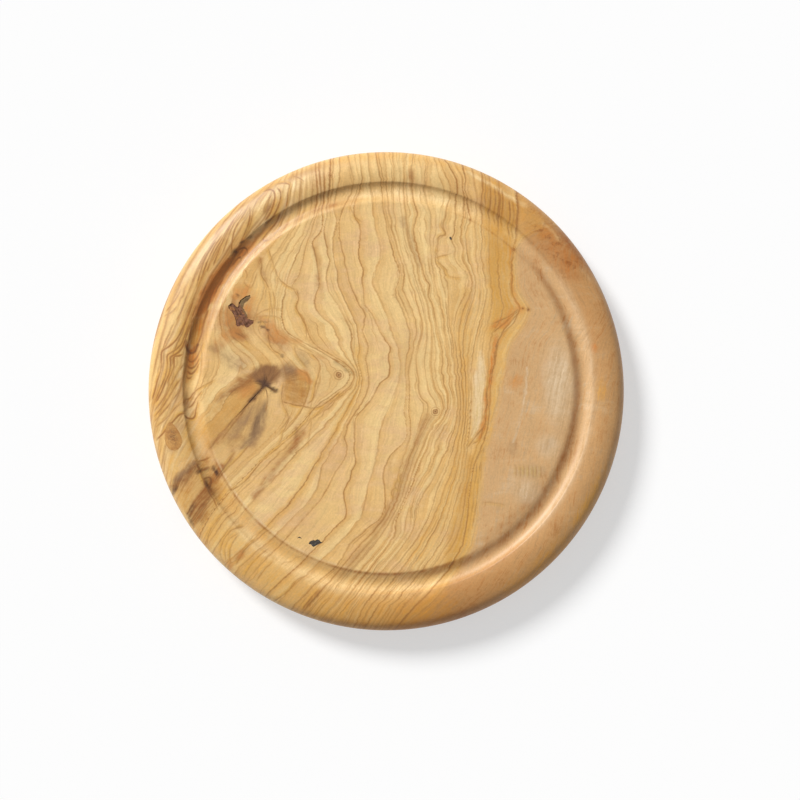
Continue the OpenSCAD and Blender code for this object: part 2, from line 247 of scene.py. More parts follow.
# Stains of the wood in plan. A spot is (x, y, half length, half width, turn in degrees, strength), and a
# streak is (strength, half width, points), in millimetres.
STAINS = {
    "pale": (
        ((5, 25, 60, 30, 90, 0.8), (-45, 78, 36, 28, 60, 0.5), (-55, -70, 40, 24, 45, 0.4),
         (-93, 23, 13, 8, -15, 0.8), (0, -30, 40, 18, 80, 0.4), (-118, 2, 5, 9, 30, 0.6),
         (-135, 40, 9, 4, 65, 0.8), (0, 142, 60, 9, 0, 0.8), (-72, 100, 6, 3, 30, 0.9),
         (20, 86, 40, 26, 90, 0.75)),
        ((0.8, 2.0, ((-104, 90), (-100, 98), (-95, 107), (-88, 114))),
         (0.8, 1.8, ((-113, 82), (-108, 92), (-103, 101))),
         (0.7, 2.0, ((-108, 70), (-103, 66), (-108, 58), (-113, 50))),
         (0.7, 2.2, ((-84, 117), (-82, 110), (-80, 118))),
         (0.7, 1.6, ((-112, -5), (-104, 1), (-96, 7), (-88, 12)))),
    ),
    "gold": (
        ((-113, -26, 7, 11, 10, 0.6), (-127, -68, 6, 5, 40, 0.8), (-104, -66, 5, 7, 30, 0.6),
         (135, -3, 4, 9, 0, 0.6), (-90, 25, 12, 5, -40, 0.25), (-78, 58, 9, 9, 0, 0.25),
         (75, 47, 8, 6, 30, 0.6)),
        ((0.85, 8, ((72, 130), (71, 110), (71, 90), (71, 70), (72, 52), (70, 40))),
         (0.8, 4, ((76, 36), (70, 28), (68, 15), (66, 0), (64, -15), (61, -32), (57, -46), (55, -60),
                   (53, -75), (50, -92), (42, -110))),
         (0.5, 5, ((50, 60), (49, 30), (50, 0), (49, -25), (45, -48), (40, -66), (32, -86), (20, -102))),
         (0.6, 2.6, ((-18, 26), (-17, 6), (-24, -10), (-32, -27), (-40, -41), (-50, -57), (-62, -74),
                     (-78, -89))),
         (0.5, 5, ((112, -96), (96, -112), (78, -126))), (0.6, 6, ((82, 116), (91, 110), (98, 101))),
         (0.6, 12, ((-110, -85), (-80, -112), (-40, -132), (0, -139), (32, -136))),
         (0.8, 2.2, ((-126, -21), (-124.5, -30), (-121, -39))),
         (0.7, 1.6, ((-119, 66), (-115.5, 76), (-111, 86), (-106, 94))),
         (0.7, 1.5, ((-122, 52), (-126, 40), (-129.5, 28), (-136, 22))),
         (0.7, 2.2, ((-137.5, 18), (-138.5, 10), (-142, 2), (-146.5, -9))),
         (0.6, 1.8, ((-133, 4), (-138, -6), (-145, -16))),
         (0.6, 2.5, ((-91, 98), (-87.5, 106), (-85.5, 114))),
         (0.6, 2.5, ((-72.5, 109), (-69.5, 116), (-68.5, 123))),
         (0.6, 1.6, ((-110, 88), (-106, 97), (-100, 105)))),
    ),
    "brown": (
        ((-124, 15, 8, 2.6, 90, 0.5),
         (-126.5, -7, 5, 1.8, 90, 0.65), (-75.5, 115, 5, 2.2, 68, 0.6),
         (-72, 32.5, 7, 3.5, -35, 0.45), (-66, 28, 5, 4, -40, 0.35), (-85, -31, 9, 6, 48, 0.3),
         (-86, -1, 6, 4, 45, 0.35), (12, 18, 15, 12, 0, 0.13),
         (-42, 4, 18, 16, 0, 0.15), (-52, -80, 20, 14, 0, 0.07),
         (-91, 47, 9, 11, 35, 0.6), (-95, 36, 9, 4, -40, 0.5), (-107, 26, 4, 5, 0, 0.35),
         (-92, 88, 4, 3, 45, 0.6),
         (16, 136, 2.4, 5, 0, 0.5), (-91, -104, 6, 2, 50, 0.6), (-45, -131, 9, 1.6, 50, 0.6),
         (-95, -28, 32, 22, 40, 0.18)),
        ((0.9, 1.3, ((-126.9, 30.1), (-126.5, 26.5), (-124.8, 23.4), (-122, 24.4), (-120.2, 28.6))),
         (0.4, 3.2, ((27, -17), (23, -26), (18, -36), (14, -47), (9, -60), (5, -72), (-1, -82), (-10, -97),
                     (-20, -107), (-28, -117))),
         (0.4, 2.0, ((-45, 90), (-43, 76), (-43, 66))),
         (0.5, 1.7, ((-78, 1.5), (-84, -5.5), (-90, -13), (-96, -20), (-102, -27), (-110, -37))),
         (0.5, 2.0, ((-56, -25), (-57.5, -31), (-60, -39))),
         (0.5, 2.4, ((-52, -28), (-58, -36), (-66, -46), (-75, -57), (-84, -68))),
         (0.45, 2.2, ((-80, 82), (-79, 76), (-77, 70))),
         (0.6, 1.2, ((-97.5, 58.6), (-97, 55), (-95.5, 52))),
         (0.4, 1.8, ((-96, -40), (-100, -46), (-104, -52))),
         (0.7, 3.0, ((-134, -62), (-127, -55), (-121, -49.5))),
         (0.6, 3.0, ((-104, -49), (-108, -56), (-112, -61)))),
    ),
    "amber": (
        ((-122, 22, 3, 9, 0, 0.15), (72, 42, 7, 3, 25, 0.45)),
        ((0.5, 1.9, ((70, 34), (68, 22), (65, 3), (63, -10), (61.5, -23), (59.5, -30))),
         (0.2, 1.2, ((81, 95), (79.5, 80), (79.5, 66), (84, 52), (76, 40), (70, 28)))),
    ),
    "cream_and_highlight": (
        (),
        ((0.95, 1.5, ((69, 129.5), (75, 126), (82, 121.5), (88, 117.5))),
         (0.9, 1.2, ((52, 138.5), (57, 136.5), (62, 133.5), (66, 131))),
         (0.8, 1.3, ((100, 106), (104, 102), (107, 98), (109, 94.5))),
         (0.5, 0.8, ((104, 107), (109, 101)))),
    ),
    "calm": ((), ()),
    "bare": ((), ()),
    "mottled": ((), ()),
    "bleached_and_highlight": (
        ((109, 3, 10, 25, 0, 0.65), (89.5, -51.5, 9.5, 4.5, 0, 0.3), (88, -64, 9, 8, 0, 0.4),
         (103, -36, 8, 8, 30, 0.4)),
        ((0.6, 0.6, ((88.5, 14), (88.5, 4), (87.5, -6), (84.5, -18), (81.5, -28), (80, -34))),
         (0.45, 0.7, ((124, 78), (127, 73), (130, 68)))),
    ),
    "orange": (
        ((132, 26, 3, 3, 0, 0.7), (82, 5, 5, 4, 0, 0.5), (-92, 62, 7, 4, 30, 0.6),
         (101, 99, 5, 4, 120, 0.5), (108, 92, 5, 3, 120, 0.4),
         (114.9, 80.6, 6, 6, 0, 0.35), (-90.5, -104, 4, 1.6, 50, 0.8), (-98, -110, 3, 3, 0, 0.6),
         (73, 42, 4, 3, 0, 0.5),
         (-88, -1.5, 7, 3, 40, 0.65), (-87.3, 51.8, 2.8, 2.3, 0, 0.6), (-53, 8.5, 4, 3, -30, 0.45),
         (-104, 30, 7, 4, 60, 0.4),
         (-71, 33, 4, 2.4, -30, 0.4), (-41, 21.5, 4, 1.6, -20, 0.4), (-120, -90, 6, 4, 50, 0.3),
         (82, 49, 7, 3, 20, 0.4)),
        ((0.7, 5, ((-90, 92), (-104, 76), (-114, 62), (-120, 47))),
         (0.8, 1.7, ((-57, 12.7), (-52, 12), (-49.4, 8.5), (-48.3, 4))),
         (0.5, 2.0, ((-70, 36), (-62, 32.5), (-54, 30.5)))),
    ),
    "grey": (
        ((-62, 14, 5, 4, 0, 0.5), (89.5, -51.5, 9.5, 4.5, 0, 0.42), (80, -37, 3, 5, 0, 0.3),
         (88, -64, 9, 8, 0, 0.22), (-53, 19, 6, 3, -50, 0.5),
         (-90, -20, 14, 4, 50, 0.5), (-98, 18, 12, 5, -30, 0.35), (-109, 26, 4, 3, 0, 0.4),
         (102, -35, 5, 3, 60, 0.4)),
        ((0.4, 3.2, ((-77.5, -9), (-80, -18), (-83, -26), (-88, -33))),
         (0.4, 2.5, ((11, 108), (14, 98), (21, 80))),
         (0.7, 1.6, ((-133, -58), (-126, -52), (-121, -47)))),
    ),
    "dark": (
        ((-76.7, 3.4, 4.2, 2.6, 10, 0.9), (-71.5, -0.8, 2.6, 1.2, -30, 0.8),
         (-66.5, 21.8, 2, 1.2, -35, 0.6), (-81.1, 42.1, 1.3, 0.8, 0, 0.55), (-78, 41.7, 1.1, 0.8, 30, 0.5),
         (-78.8, 39, 1.7, 0.9, -40, 0.6), (-76, 37, 1.4, 0.8, -35, 0.55), (-95, 59.5, 1.4, 0.8, -40, 0.6),
         (-97.3, 87, 1.9, 1.5, 20, 0.75), (-92.3, 92.8, 2.2, 1, 40, 0.75), (-87.5, 97, 2.2, 0.9, 40, 0.5),
         (-76.5, 106.5, 2.4, 0.9, 50, 0.6), (-133, -63.5, 3.6, 1.9, 48, 0.7),
         (-122, -75, 4.4, 1.8, 66, 0.65),
         (-123.5, -82, 5, 1.4, 115, 0.6), (-117.5, -52, 2.6, 1.4, 30, 0.7),
         (-113, -50.3, 2.4, 1.3, 30, 0.65),
         (-107.5, -51, 3.2, 1.7, -55, 0.8), (-112.5, -60, 3.4, 1.4, -60, 0.75),
         (-60.5, 10, 4.5, 4, 0, 0.2)),
        ((0.4, 1.5, ((-31, 18), (-26, 14), (-22.5, 10))),
         (0.8, 1.0, ((-76.8, 2.8), (-80.5, -1.2), (-84, -5.4), (-86.3, -8.2))),
         (0.8, 0.9, ((-76.5, 3), (-73.5, 1.2), (-70, -0.6))),
         (0.6, 0.7, ((-76.8, 3.2), (-79.5, 3.8), (-82.4, 4.6))),
         (0.6, 0.6, ((-76.4, 3.4), (-75.8, 6), (-75.4, 8.7))),
         (0.3, 0.9, ((-77.5, 2), (-84, -5), (-92, -14.5))),
         (0.3, 1.9, ((-134, -62), (-127, -55), (-121, -49.5))),
         (0.12, 2.0, ((-96, 82.5), (-103, 75), (-109, 68), (-114, 59), (-118, 51.5))),
         (0.3, 1.8, ((-78, -11), (-81, -21), (-86, -31)))),
    ),
}

# Patches of stained wood with an edge of their own: strength of each stain, softness of the edge, outline
PATCHES = (
    ({"gold": 0.5, "brown": 0.12}, 3.4, ((-83, 13), (-90, 8), (-97, 2), (-105, -4.5), (-112, -12),
                                         (-113, -20), (-108, -29),
                                         (-100, -22.5), (-92, -14.5), (-84, -5), (-79, 1), (-82, 6))),
    ({"brown": 0.88, "grey": 0.08}, 3.4, ((-83, 12.5), (-91, 6.5), (-99, 0.5), (-108, -7), (-104, -7.5),
                                          (-97, -4),
                                        (-90, -0.5), (-82, 4))),
    ({"brown": 0.9, "grey": 0.35, "dark": 0.3}, 2.2, ((-84, 9), (-82.5, 13), (-79, 15), (-74.5, 15.4),
                                                      (-70, 14), (-67, 11.5),
                                         (-66, 9.5), (-69, 6), (-73, 3.5), (-77, 2), (-81, 4))),
    ({"grey": 0.72, "dark": 0.14}, 2.6, ((-75.2, -7), (-75.4, -14), (-76.5, -22), (-79, -30), (-85, -36),
                                         (-92, -37),
                                         (-89, -31), (-84.5, -26), (-81.5, -18), (-78.5, -11))),
    ({"grey": 0.22, "gold": 0.4, "brown": 0.1}, 3.0, ((-79, -1.5), (-86, -9.5), (-93, -18), (-100, -27),
                                                      (-104, -34), (-96, -38), (-89, -34),
                          (-83, -25), (-78.5, -13), (-76, -5))),
    ({"gold": 0.75, "brown": 0.38}, 2.6, ((-65, 4), (-62, 9), (-57, 12), (-52, 11.5), (-49, 8), (-48.3, 3),
                                          (-50, -4),
                                          (-52.5, -10), (-58, -9.5), (-65, -7.5))),
    ({"brown": 0.5, "grey": 0.25}, 3.0, ((-66, 14), (-62, 15.5), (-57.5, 14), (-55.5, 11), (-56.5, 7),
                                         (-59.5, 5),
                                        (-63, 6.5), (-66, 10))),
    ({"brown": 0.6, "amber": 0.9, "dark": 0.05}, 1.1,
     ((-88, 90.5), (-92, 86), (-99, 77.5), (-104, 70), (-109, 61), (-113.5, 53), (-118, 45.5),
      (-120.5, 46.5),
      (-119.5, 54), (-116, 62), (-112, 70), (-106, 77), (-100, 83), (-94, 88.5))),
    ({"gold": 0.9, "brown": 0.3}, 0.9, ((-123.4, 43), (-123.7, 33.6), (-125.1, 28.6), (-122, 27),
                                        (-118.5, 33.6), (-116.4, 40.6),
                                        (-116.7, 45), (-120, 45))),
    ({"brown": 0.75, "dark": 0.1}, 2.0, ((-125, -78), (-121, -70), (-117, -64), (-112, -60), (-108, -63),
                                         (-110, -70),
                                         (-114, -76), (-115, -83), (-121, -86))),
    ({"gold": 0.55, "brown": 0.3}, 3.0, ((-124, -46), (-113, -41), (-107, -50), (-103, -62), (-108, -78),
                                         (-118, -86),
                                         (-128, -74), (-134, -60))),
    ({"brown": 0.42, "bare": 0.9}, 1.0, ((-138.4, -28.8), (-136.7, -24.6), (-131.8, -21.1), (-127.6, -22.5),
                                         (-126.5, -28.1),
                                         (-127.6, -33.7), (-131.1, -39.3), (-134.6, -40.7),
                                         (-137.7, -39.3))),
    ({"bare": 0.9, "gold": 0.4, "brown": 0.08}, 2.5, ((-141, -38), (-131, -41), (-127, -38), (-125, -30),
                                                      (-122, -36), (-119, -46), (-126, -51),
                                        (-133, -57), (-138, -50))),
    ({"bare": 0.9, "gold": 0.3}, 2.0, ((-126, -20), (-119, -17), (-113, -24), (-111, -36), (-115, -44),
                                       (-119, -45), (-123, -34))),
    ({"pale": 0.35, "grey": 0.16}, 3.0, ((-104, 31), (-97, 33), (-88, 27), (-80, 19), (-82, 15), (-92, 13),
                                         (-100, 12), (-105, 20))),
    ({"orange": 0.3, "brown": 0.1}, 3.4, ((-97, 66), (-90, 68), (-84, 62), (-82, 52), (-86, 50), (-92, 56),
                                          (-99, 58))),
    ({"orange": 0.35, "brown": 0.2}, 3.0, ((-82, 47), (-72, 44), (-66, 36), (-58, 32), (-64, 29), (-72, 31),
                                           (-78, 38))),
    ({"brown": 0.5, "orange": 0.3}, 3.2, ((-108, 50), (-100, 52), (-96, 46), (-94, 38), (-90, 33),
                                          (-98, 29), (-105, 32))),
    ({"amber": 0.18, "gold": 0.6}, 1.2, ((-127.5, 24), (-119, 24), (-118, 14), (-121, 6), (-127, 4))),
    ({"gold": 0.7, "brown": 0.14}, 2.5, ((62, 132), (82, 120), (82, 96), (79.5, 75), (80, 60), (84, 51),
                                         (80, 42), (72, 33),
                                          (68, 24), (66, 34), (68, 46), (67, 60), (65, 80), (63, 105))),
    ({"gold": 0.7, "brown": 0.15}, 2.0, ((50, -40), (56, -45), (54, -60), (52, -80), (50, -92), (43, -108),
                                         (36, -112),
                                         (38, -98), (42, -80), (46, -62))),
    ({"orange": 0.2, "brown": 0.2, "mottled": 1.0}, 7.0, ((88, 106), (101, 107), (113, 98), (122, 86),
                                                          (128, 76), (122, 71), (112, 73),
                                           (104, 83), (96, 92))),
    ({"calm": 0.85}, 8.0, ((-18, 32), (8, 32), (10, 0), (8, -30), (2, -60), (-10, -85), (-28, -80),
                           (-24, -50), (-20, -20),
                           (-14, 0))),
    ({"calm": 0.95}, 3.0, ((-68, 6), (-60, 16), (-50, 14), (-46, 4), (-50, -12), (-66, -10))),
    ({"calm": 0.8}, 8.0, ((-92, -46), (-52, -22), (-22, -32), (-22, -84), (-50, -102), (-78, -84))),
    ({"calm": 0.6}, 9.0, ((-60, 100), (-38, 112), (0, 108), (-2, 85), (-12, 60), (-30, 48), (-52, 40),
                          (-62, 60))),
    ({"gold": -0.95, "brown": -0.8, "amber": -0.6, "bleached_and_highlight": 0.35, "cream_and_highlight": 0.45, "pale": 0.6}, 1.6,
     ((60.5, 24), (63, 12), (62.5, 0), (61, -14), (58.5, -26), (55, -34), (54, -22), (54, -8), (56, 8))),
)

# Stains and painted light along the turned form: stain, strength, radius, half width and the angles it runs
# between
RING_STAINS_AND_PAINTED_LIGHT = (
    # Painted shade on the groove's floor side at the right and front, and a painted highlight on its rim
    # side there
    ("brown", 0.5, 119.2, 2.4, -88, 44), ("bleached_and_highlight", 0.5, 128.4, 2.4, -50, 38),
    ("gold", 0.9, 145, 3.0, -40, -18),
    # A painted shadow line along the floor's edge at the front left, with a painted highlight on the arris
    # inside it
    ("brown", 0.5, 117.0, 0.8, -165, -60), ("bleached_and_highlight", 0.3, 115.7, 0.6, -165, -95),
    # A painted shadow line along the floor's edge at the back right
    ("brown", 0.25, 117.0, 0.7, 40, 75),
    ("gold", 0.6, 120.6, 2.8, 88, 178), ("brown", 0.45, 119.8, 2.0, 95, 172),
    ("amber", 0.42, 124.8, 2.4, 118, 170),
    # Painted light in the groove's shade at the back, and a painted highlight on the rim at the back left
    ("cream_and_highlight", 0.5, 122.5, 3.5, 60, 108), ("cream_and_highlight", 0.65, 141, 4.0, 105, 152),
    # The cream rings on this line and the next are painted sheen on the rim's inner side at the front left
    # and the front
    ("gold", 0.35, 143, 4.0, 146, 162), ("cream_and_highlight", 0.5, 127.6, 3.0, -145, -105),
    ("cream_and_highlight", 0.5, 129, 3.6, -118, -72),
    ("gold", 0.45, 147, 6.0, -118, -72), ("brown", 0.34, 149.5, 4.0, -114, -58),
    # The brown ring at the back left of the rim's outer edge is painted shade that dims the highlight there
    ("brown", 0.35, 145.8, 2.4, 100, 165), ("gold", 0.4, 147.5, 3.5, 60, 112),
    ("brown", 0.5, 147, 2.6, 28, 54), ("gold", 0.4, 122, 3.5, -160, -105),
    # The brown rings on this line and the next are painted shade along the floor's edge and in the groove
    # at the right and the front
    ("brown", 0.28, 113.5, 2.8, -62, -28), ("brown", 0.4, 117.6, 1.5, -38, 25),
    ("brown", 0.3, 122.0, 1.5, -64, -26), ("brown", 0.35, 117.4, 1.1, -112, -62),
)

# Single strokes of dark wood that leave the run of the growth lines: how dark, and points in millimetres
STROKES = (
    (0.9, ((-121, 60), (-125, 48), (-129, 38), (-133, 31), (-138, 26.5), (-142, 23.8), (-142.2, 18),
           (-142.5, 12),
           (-144.5, 6), (-146, 0), (-148, -7))),
    (0.7, ((-120, 54), (-124, 43), (-127, 35), (-130, 28), (-134, 24.3), (-138, 21.8), (-138.5, 19),
           (-138.2, 15),
           (-139.5, 8), (-142, 2), (-144.5, -4), (-147.5, -11))),
    (0.9, ((-121, 47), (-125, 38), (-127.3, 31), (-129.5, 25.5), (-133, 22), (-136.3, 20.3), (-136.2, 16),
           (-137, 10), (-139.5, 4), (-142, -2), (-146, -9))),
    (0.8, ((-127.8, 22.5), (-131, 21), (-134.2, 20.3), (-134, 14.5), (-136, 9), (-138.5, 3))),
    (0.6, ((-127.5, 16.5), (-131, 11.5), (-134, 6), (-138, -2), (-142, -8), (-147, -14))),
    (0.6, ((-128.5, 8), (-133, 2), (-137, -5), (-141, -11), (-147, -18))),
    (0.6, ((-129.5, 0), (-134, -6), (-139, -12.5), (-147, -21))),
    (0.5, ((-128.5, -8), (-133, -12), (-138, -18), (-147, -25))),
    (1.0, ((-126.5, -15.2), (-130, -16), (-133, -19), (-137, -23.5), (-140.5, -27.5), (-145, -32))),
    (0.6, ((-140, 49), (-136, 54), (-133, 58), (-130, 64))),
    (0.5, ((-141, 46.5), (-136, 49), (-132, 53))),
    (0.6, ((-133, 43), (-129.5, 50), (-126, 60), (-121, 72))),
    (1.2, ((-127, 28.5), (-125.3, 24.3), (-123, 23), (-120.7, 25), (-119.4, 29), (-117.2, 35), (-115.7, 43),
           (-113, 51))),
    (1.0, ((-123.2, 45), (-124, 36), (-125.3, 29))),
    (1.2, ((-126.8, 20.5), (-124, 17.6), (-121, 19), (-118.7, 23), (-116, 30))),
    (1.2, ((-126.5, 16), (-124, 13.6), (-121, 15), (-117.5, 20.5))),
    (1.0, ((-126.3, 12), (-123.6, 10), (-121, 12), (-118, 17))),
    (0.7, ((-126.8, 9), (-125, 7), (-122.5, 8.8))),
    (0.8, ((-127, -6.6), (-124, -5.3), (-122, -2.4), (-118, 1), (-113, 3.5), (-108, 6.5))),
    (0.8, ((-126.5, -12), (-123, -10), (-120, -5.5), (-116, -0.5))),
    (1.0, ((-127.5, -16), (-125.5, -18), (-122.5, -18.3), (-120.8, -16.5), (-120, -12), (-118.6, -7))),
    (1.0, ((-77.3, 2), (-80.5, -1), (-84, -5), (-88, -10.5), (-92, -14.5), (-96, -18.3))),
    (0.6, ((-95, -17.6), (-98.5, -21.4), (-101, -24.6), (-105.5, -28.8), (-108.4, -34), (-112, -38))),
    (0.8, ((-89, -12.5), (-92.5, -17), (-96, -21.5), (-99.5, -26), (-104, -32))),
    (1.0, ((-77, 3), (-74, 1.2), (-71.5, -0.7), (-69, -1.8))),
    (0.7, ((-76.6, 3.4), (-75.7, 6), (-75.4, 9.5))),
    (0.7, ((-77, 3), (-79.5, 3.4), (-82.5, 4))),
    (0.8, ((-76.5, 2.6), (-75.6, -2), (-75, -8), (-76, -14))),
    (0.7, ((-74, 4.5), (-71.5, 7), (-68.5, 10))),
    (0.7, ((-65, 4.5), (-65.5, 0), (-66, -5), (-65.3, -8.5), (-64.3, -11.5), (-62.5, -15), (-61.7, -19),
           (-63, -23),
           (-65, -27), (-65.8, -31), (-68.5, -36))),
    (0.8, ((-51.5, 11.8), (-49, 8), (-48.1, 3.5), (-49, -1), (-50.5, -6), (-52.5, -11), (-55, -16),
           (-58, -20),
           (-62, -24.5), (-66, -28.5))),
    (1.0, ((-66, -7.7), (-62, -8.8), (-57, -10), (-52, -10.9), (-47, -11.8), (-42, -11.2), (-38, -8.6),
           (-34, -5.6),
           (-29, -1.5))),
    (0.8, ((-48, 23), (-43.8, 19), (-42, 15), (-42.5, 10), (-44.5, 4), (-45.5, -2), (-46.6, -6.5),
           (-50, -9.5))),
    (0.7, ((-26, -3), (-33, -7), (-38, -12), (-44, -16.5), (-50, -20.5))),
    (0.9, ((-46, -12), (-48, -16), (-50.5, -20.5), (-54.5, -25), (-60, -30), (-66, -35), (-72, -40),
           (-78, -45),
           (-83, -51), (-88, -57), (-93, -61), (-98, -64))),
    (0.5, ((-47, -19), (-47.5, -24), (-48.5, -30), (-49.3, -37))),
    (0.5, ((-60, 29.5), (-55, 28), (-50, 25.5), (-45.5, 22.5))),
    (0.8, ((-57, 64), (-55.5, 58), (-56.7, 53), (-56, 49), (-53, 46), (-51.5, 42), (-50.5, 37), (-51, 31))),
    (0.6, ((-74.5, 63), (-73.5, 57), (-72.5, 52), (-72.3, 46))),
    (0.6, ((-72, 63), (-70.8, 57), (-71, 50))),
    (0.9, ((-75, 36), (-74, 29), (-71.5, 25), (-67, 22))),
    (0.5, ((-58, 28.5), (-57.5, 24), (-55.5, 20), (-52, 16), (-50, 13))),
    (0.7, ((-96, 36), (-91, 33.5), (-86.5, 28.5))),
    (0.8, ((-84.5, 43.5), (-81.5, 44.4), (-78.5, 43.2), (-76.2, 40.4), (-74.6, 36.8))),
    (0.5, ((-84, 46.5), (-78, 49.5), (-72, 51.5), (-66, 51))),
    (0.5, ((-84.5, 45), (-77, 46.5), (-70, 46), (-64, 43.5))),
    (0.6, ((-93, 36.5), (-88, 31.5))),
    (0.6, ((-98.5, 34), (-92, 29), (-86, 25))),
    (0.9, ((-76.5, 105.5), (-72, 110), (-69, 116), (-67.3, 122), (-67.5, 126), (-70, 128.7))),
    (0.9, ((-77.5, 107), (-74.5, 111), (-72, 117), (-71, 122), (-71.6, 126), (-74.5, 127.6), (-79, 126))),
    (0.7, ((-78, 111), (-77.5, 116), (-75.5, 120), (-72.5, 124.5))),
    (0.8, ((-64, 115), (-63, 120), (-62.5, 126), (-61.8, 130.5), (-66, 131.6), (-71, 131))),
    (0.6, ((-61, 136.5), (-56, 135), (-52, 132))),
    (0.6, ((-90, 97), (-87, 103), (-85.5, 109), (-84.5, 115), (-82, 121), (-78, 125))),
    (0.8, ((-93, 92.5), (-90.5, 98), (-88, 104), (-86.8, 110), (-87, 117))),
    (0.7, ((-98.5, 87), (-98, 94), (-96.5, 101), (-94, 106), (-91, 111), (-87.5, 118))),
    (0.6, ((-104, 86), (-101, 95), (-98, 103), (-95, 109), (-91, 116))),
    (0.7, ((-110, 78), (-106, 89), (-102, 98), (-98, 106), (-94, 113))),
    (0.7, ((-114, 74), (-110.5, 84), (-106.5, 92), (-101.5, 101), (-96, 110))),
    (0.8, ((-118, 68), (-114, 80), (-109.5, 90), (-104, 99))),
    (0.7, ((-120.5, 64), (-117.5, 76), (-113.5, 86), (-108, 95))),
    (0.6, ((-125, 62), (-120, 76), (-114, 88))),
    (0.8, ((-98.5, 78), (-95.2, 83), (-93, 84.5), (-92.4, 82), (-95, 78.3))),
    (0.8, ((-97.5, 87), (-92, 90), (-89.5, 90), (-88.4, 88), (-89.3, 85.5))),
    (0.8, ((-67, 113), (-70, 107), (-74, 102), (-78, 97), (-78.3, 95), (-74, 95), (-70, 96), (-66, 98.5))),
    (0.7, ((-75, 90), (-73, 83), (-70.5, 76), (-68, 70), (-63, 66), (-57, 63))),
    (0.8, ((-81, 85), (-79, 79), (-79.5, 73), (-76, 67), (-74, 63))),
    (0.7, ((-91, 78), (-88.5, 73), (-90, 68), (-86, 64.5), (-84, 68), (-82, 74))),
    (1.0, ((-119.5, -46.5), (-117, -52), (-114.5, -58), (-112, -63), (-110, -67), (-107.5, -71),
           (-105.5, -76))),
    (1.0, ((-119, -53), (-115, -50.5), (-111, -48.5))),
    (1.0, ((-116.5, -58), (-113, -55.5), (-110.5, -56), (-110.8, -61), (-112.5, -64))),
    (0.9, ((-118.5, -45.5), (-114, -44), (-110.5, -42.5))),
    (0.7, ((-95, -40), (-99, -45), (-103, -51), (-108, -57))),
    (0.7, ((-87, -36), (-92, -42), (-97, -47), (-101, -51), (-106, -57))),
    (0.7, ((-99, -76), (-104, -80), (-108, -85), (-111, -90), (-113, -98))),
    (0.7, ((-89, -86), (-96, -88), (-101, -93), (-103.5, -99), (-104, -104), (-101, -110))),
    (0.7, ((-92, -90), (-98, -94), (-101, -100), (-100.5, -108))),
    (0.8, ((-92.5, -91), (-96.5, -97), (-98, -103), (-97.5, -109))),
    (0.8, ((-79, -92), (-86, -98), (-90, -103), (-94, -110))),
    (0.7, ((-73, -99), (-80, -105), (-86, -112), (-89, -118))),
    (0.7, ((-70, -107), (-76, -113), (-81, -120))),
    (0.8, ((-56, -120), (-61, -126), (-66, -130), (-71, -133))),
    (1.0, ((-42, -125), (-48, -132), (-52.5, -138))),
    (0.8, ((36, 109), (35, 104), (38, 98.5), (33.5, 97.3), (32.5, 92), (32, 86))),
    (0.7, ((30.5, 83.5), (36, 85), (41.5, 86.3))),
    (0.7, ((31.5, 82.5), (38, 76), (40, 71.6), (47.5, 71))),
    (0.6, ((-24, 118), (-20, 110), (-15.5, 106.5))),
    (0.8, ((64, -21), (57, -29), (51, -37))),
    (0.6, ((11.5, -52.5), (8.8, -54.5), (8.6, -57.5), (11, -58))),
    (0.6, ((8.5, -57), (5.8, -59.5), (5.8, -62.5), (8.3, -62.8))),
    (0.6, ((6, -61.5), (3.6, -64), (3.8, -67), (6.2, -67.4))),
    (0.9, ((84, 51), (78, 46.5), (72, 43.5), (66, 41))),
    (0.9, ((84.3, 50.3), (77, 44), (71.5, 39), (67.5, 36))),
    (0.9, ((85, 50), (80, 44), (74.5, 37.5), (71, 30), (69.5, 22), (68.5, 14))),
    (0.9, ((66.5, 14), (65, 4), (63.2, -3), (64, -9), (62, -16), (62.8, -20), (60.6, -26), (59.5, -31),
           (54, -35))),
    (0.35, ((59.5, -71), (67, -71.3), (75, -72.8))),
    *((ink, ((x, top), (x + 0.6, top - 9), (x - 0.3, top - 17), (x + 0.3, top - 24))) for ink, x, top in (
        (0.7, 65.8, 130), (0.6, 68.9, 129), (0.8, 71.2, 128.5), (0.7, 73.6, 127.5), (0.8, 78.2, 120.5),
        (0.6, 80.5, 119.5))),
    *((0.5, ((x, -47.5), (x + 0.4, -51), (x, -56))) for x in (81.5, 84.2, 86.4, 89.3, 92, 94.1, 97)),
    (0.7, ((60.2, -44), (58.6, -52), (57.8, -60), (57.2, -68), (55.8, -77), (54, -88))),
    (0.6, ((57, -46), (56.6, -54), (55.2, -62), (54.8, -70), (53.3, -80), (51.5, -90))),
    (0.6, ((62, -36), (60.5, -42), (59.8, -50), (59.2, -58))),
    (0.8, ((61, -37.5), (58, -42), (54.5, -49))),
)

# Small knots grown into the wood: place, radius and darkness, in millimetres
PIN_KNOTS = (
    (-30, 9, 3.6, 0.8), (31, -14, 3.2, 0.8), (81.3, 89, 2.2, 0.7), (53.3, 108, 1.6, 0.6),
    (114.9, 80.6, 6.0, 0.3), (92.2, 114.7, 5.0, 0.3), (-35.5, 136, 3.0, 0.5), (90, 50.5, 1.6, 0.9),
    (86.5, 51.3, 1.2, 0.9),
)

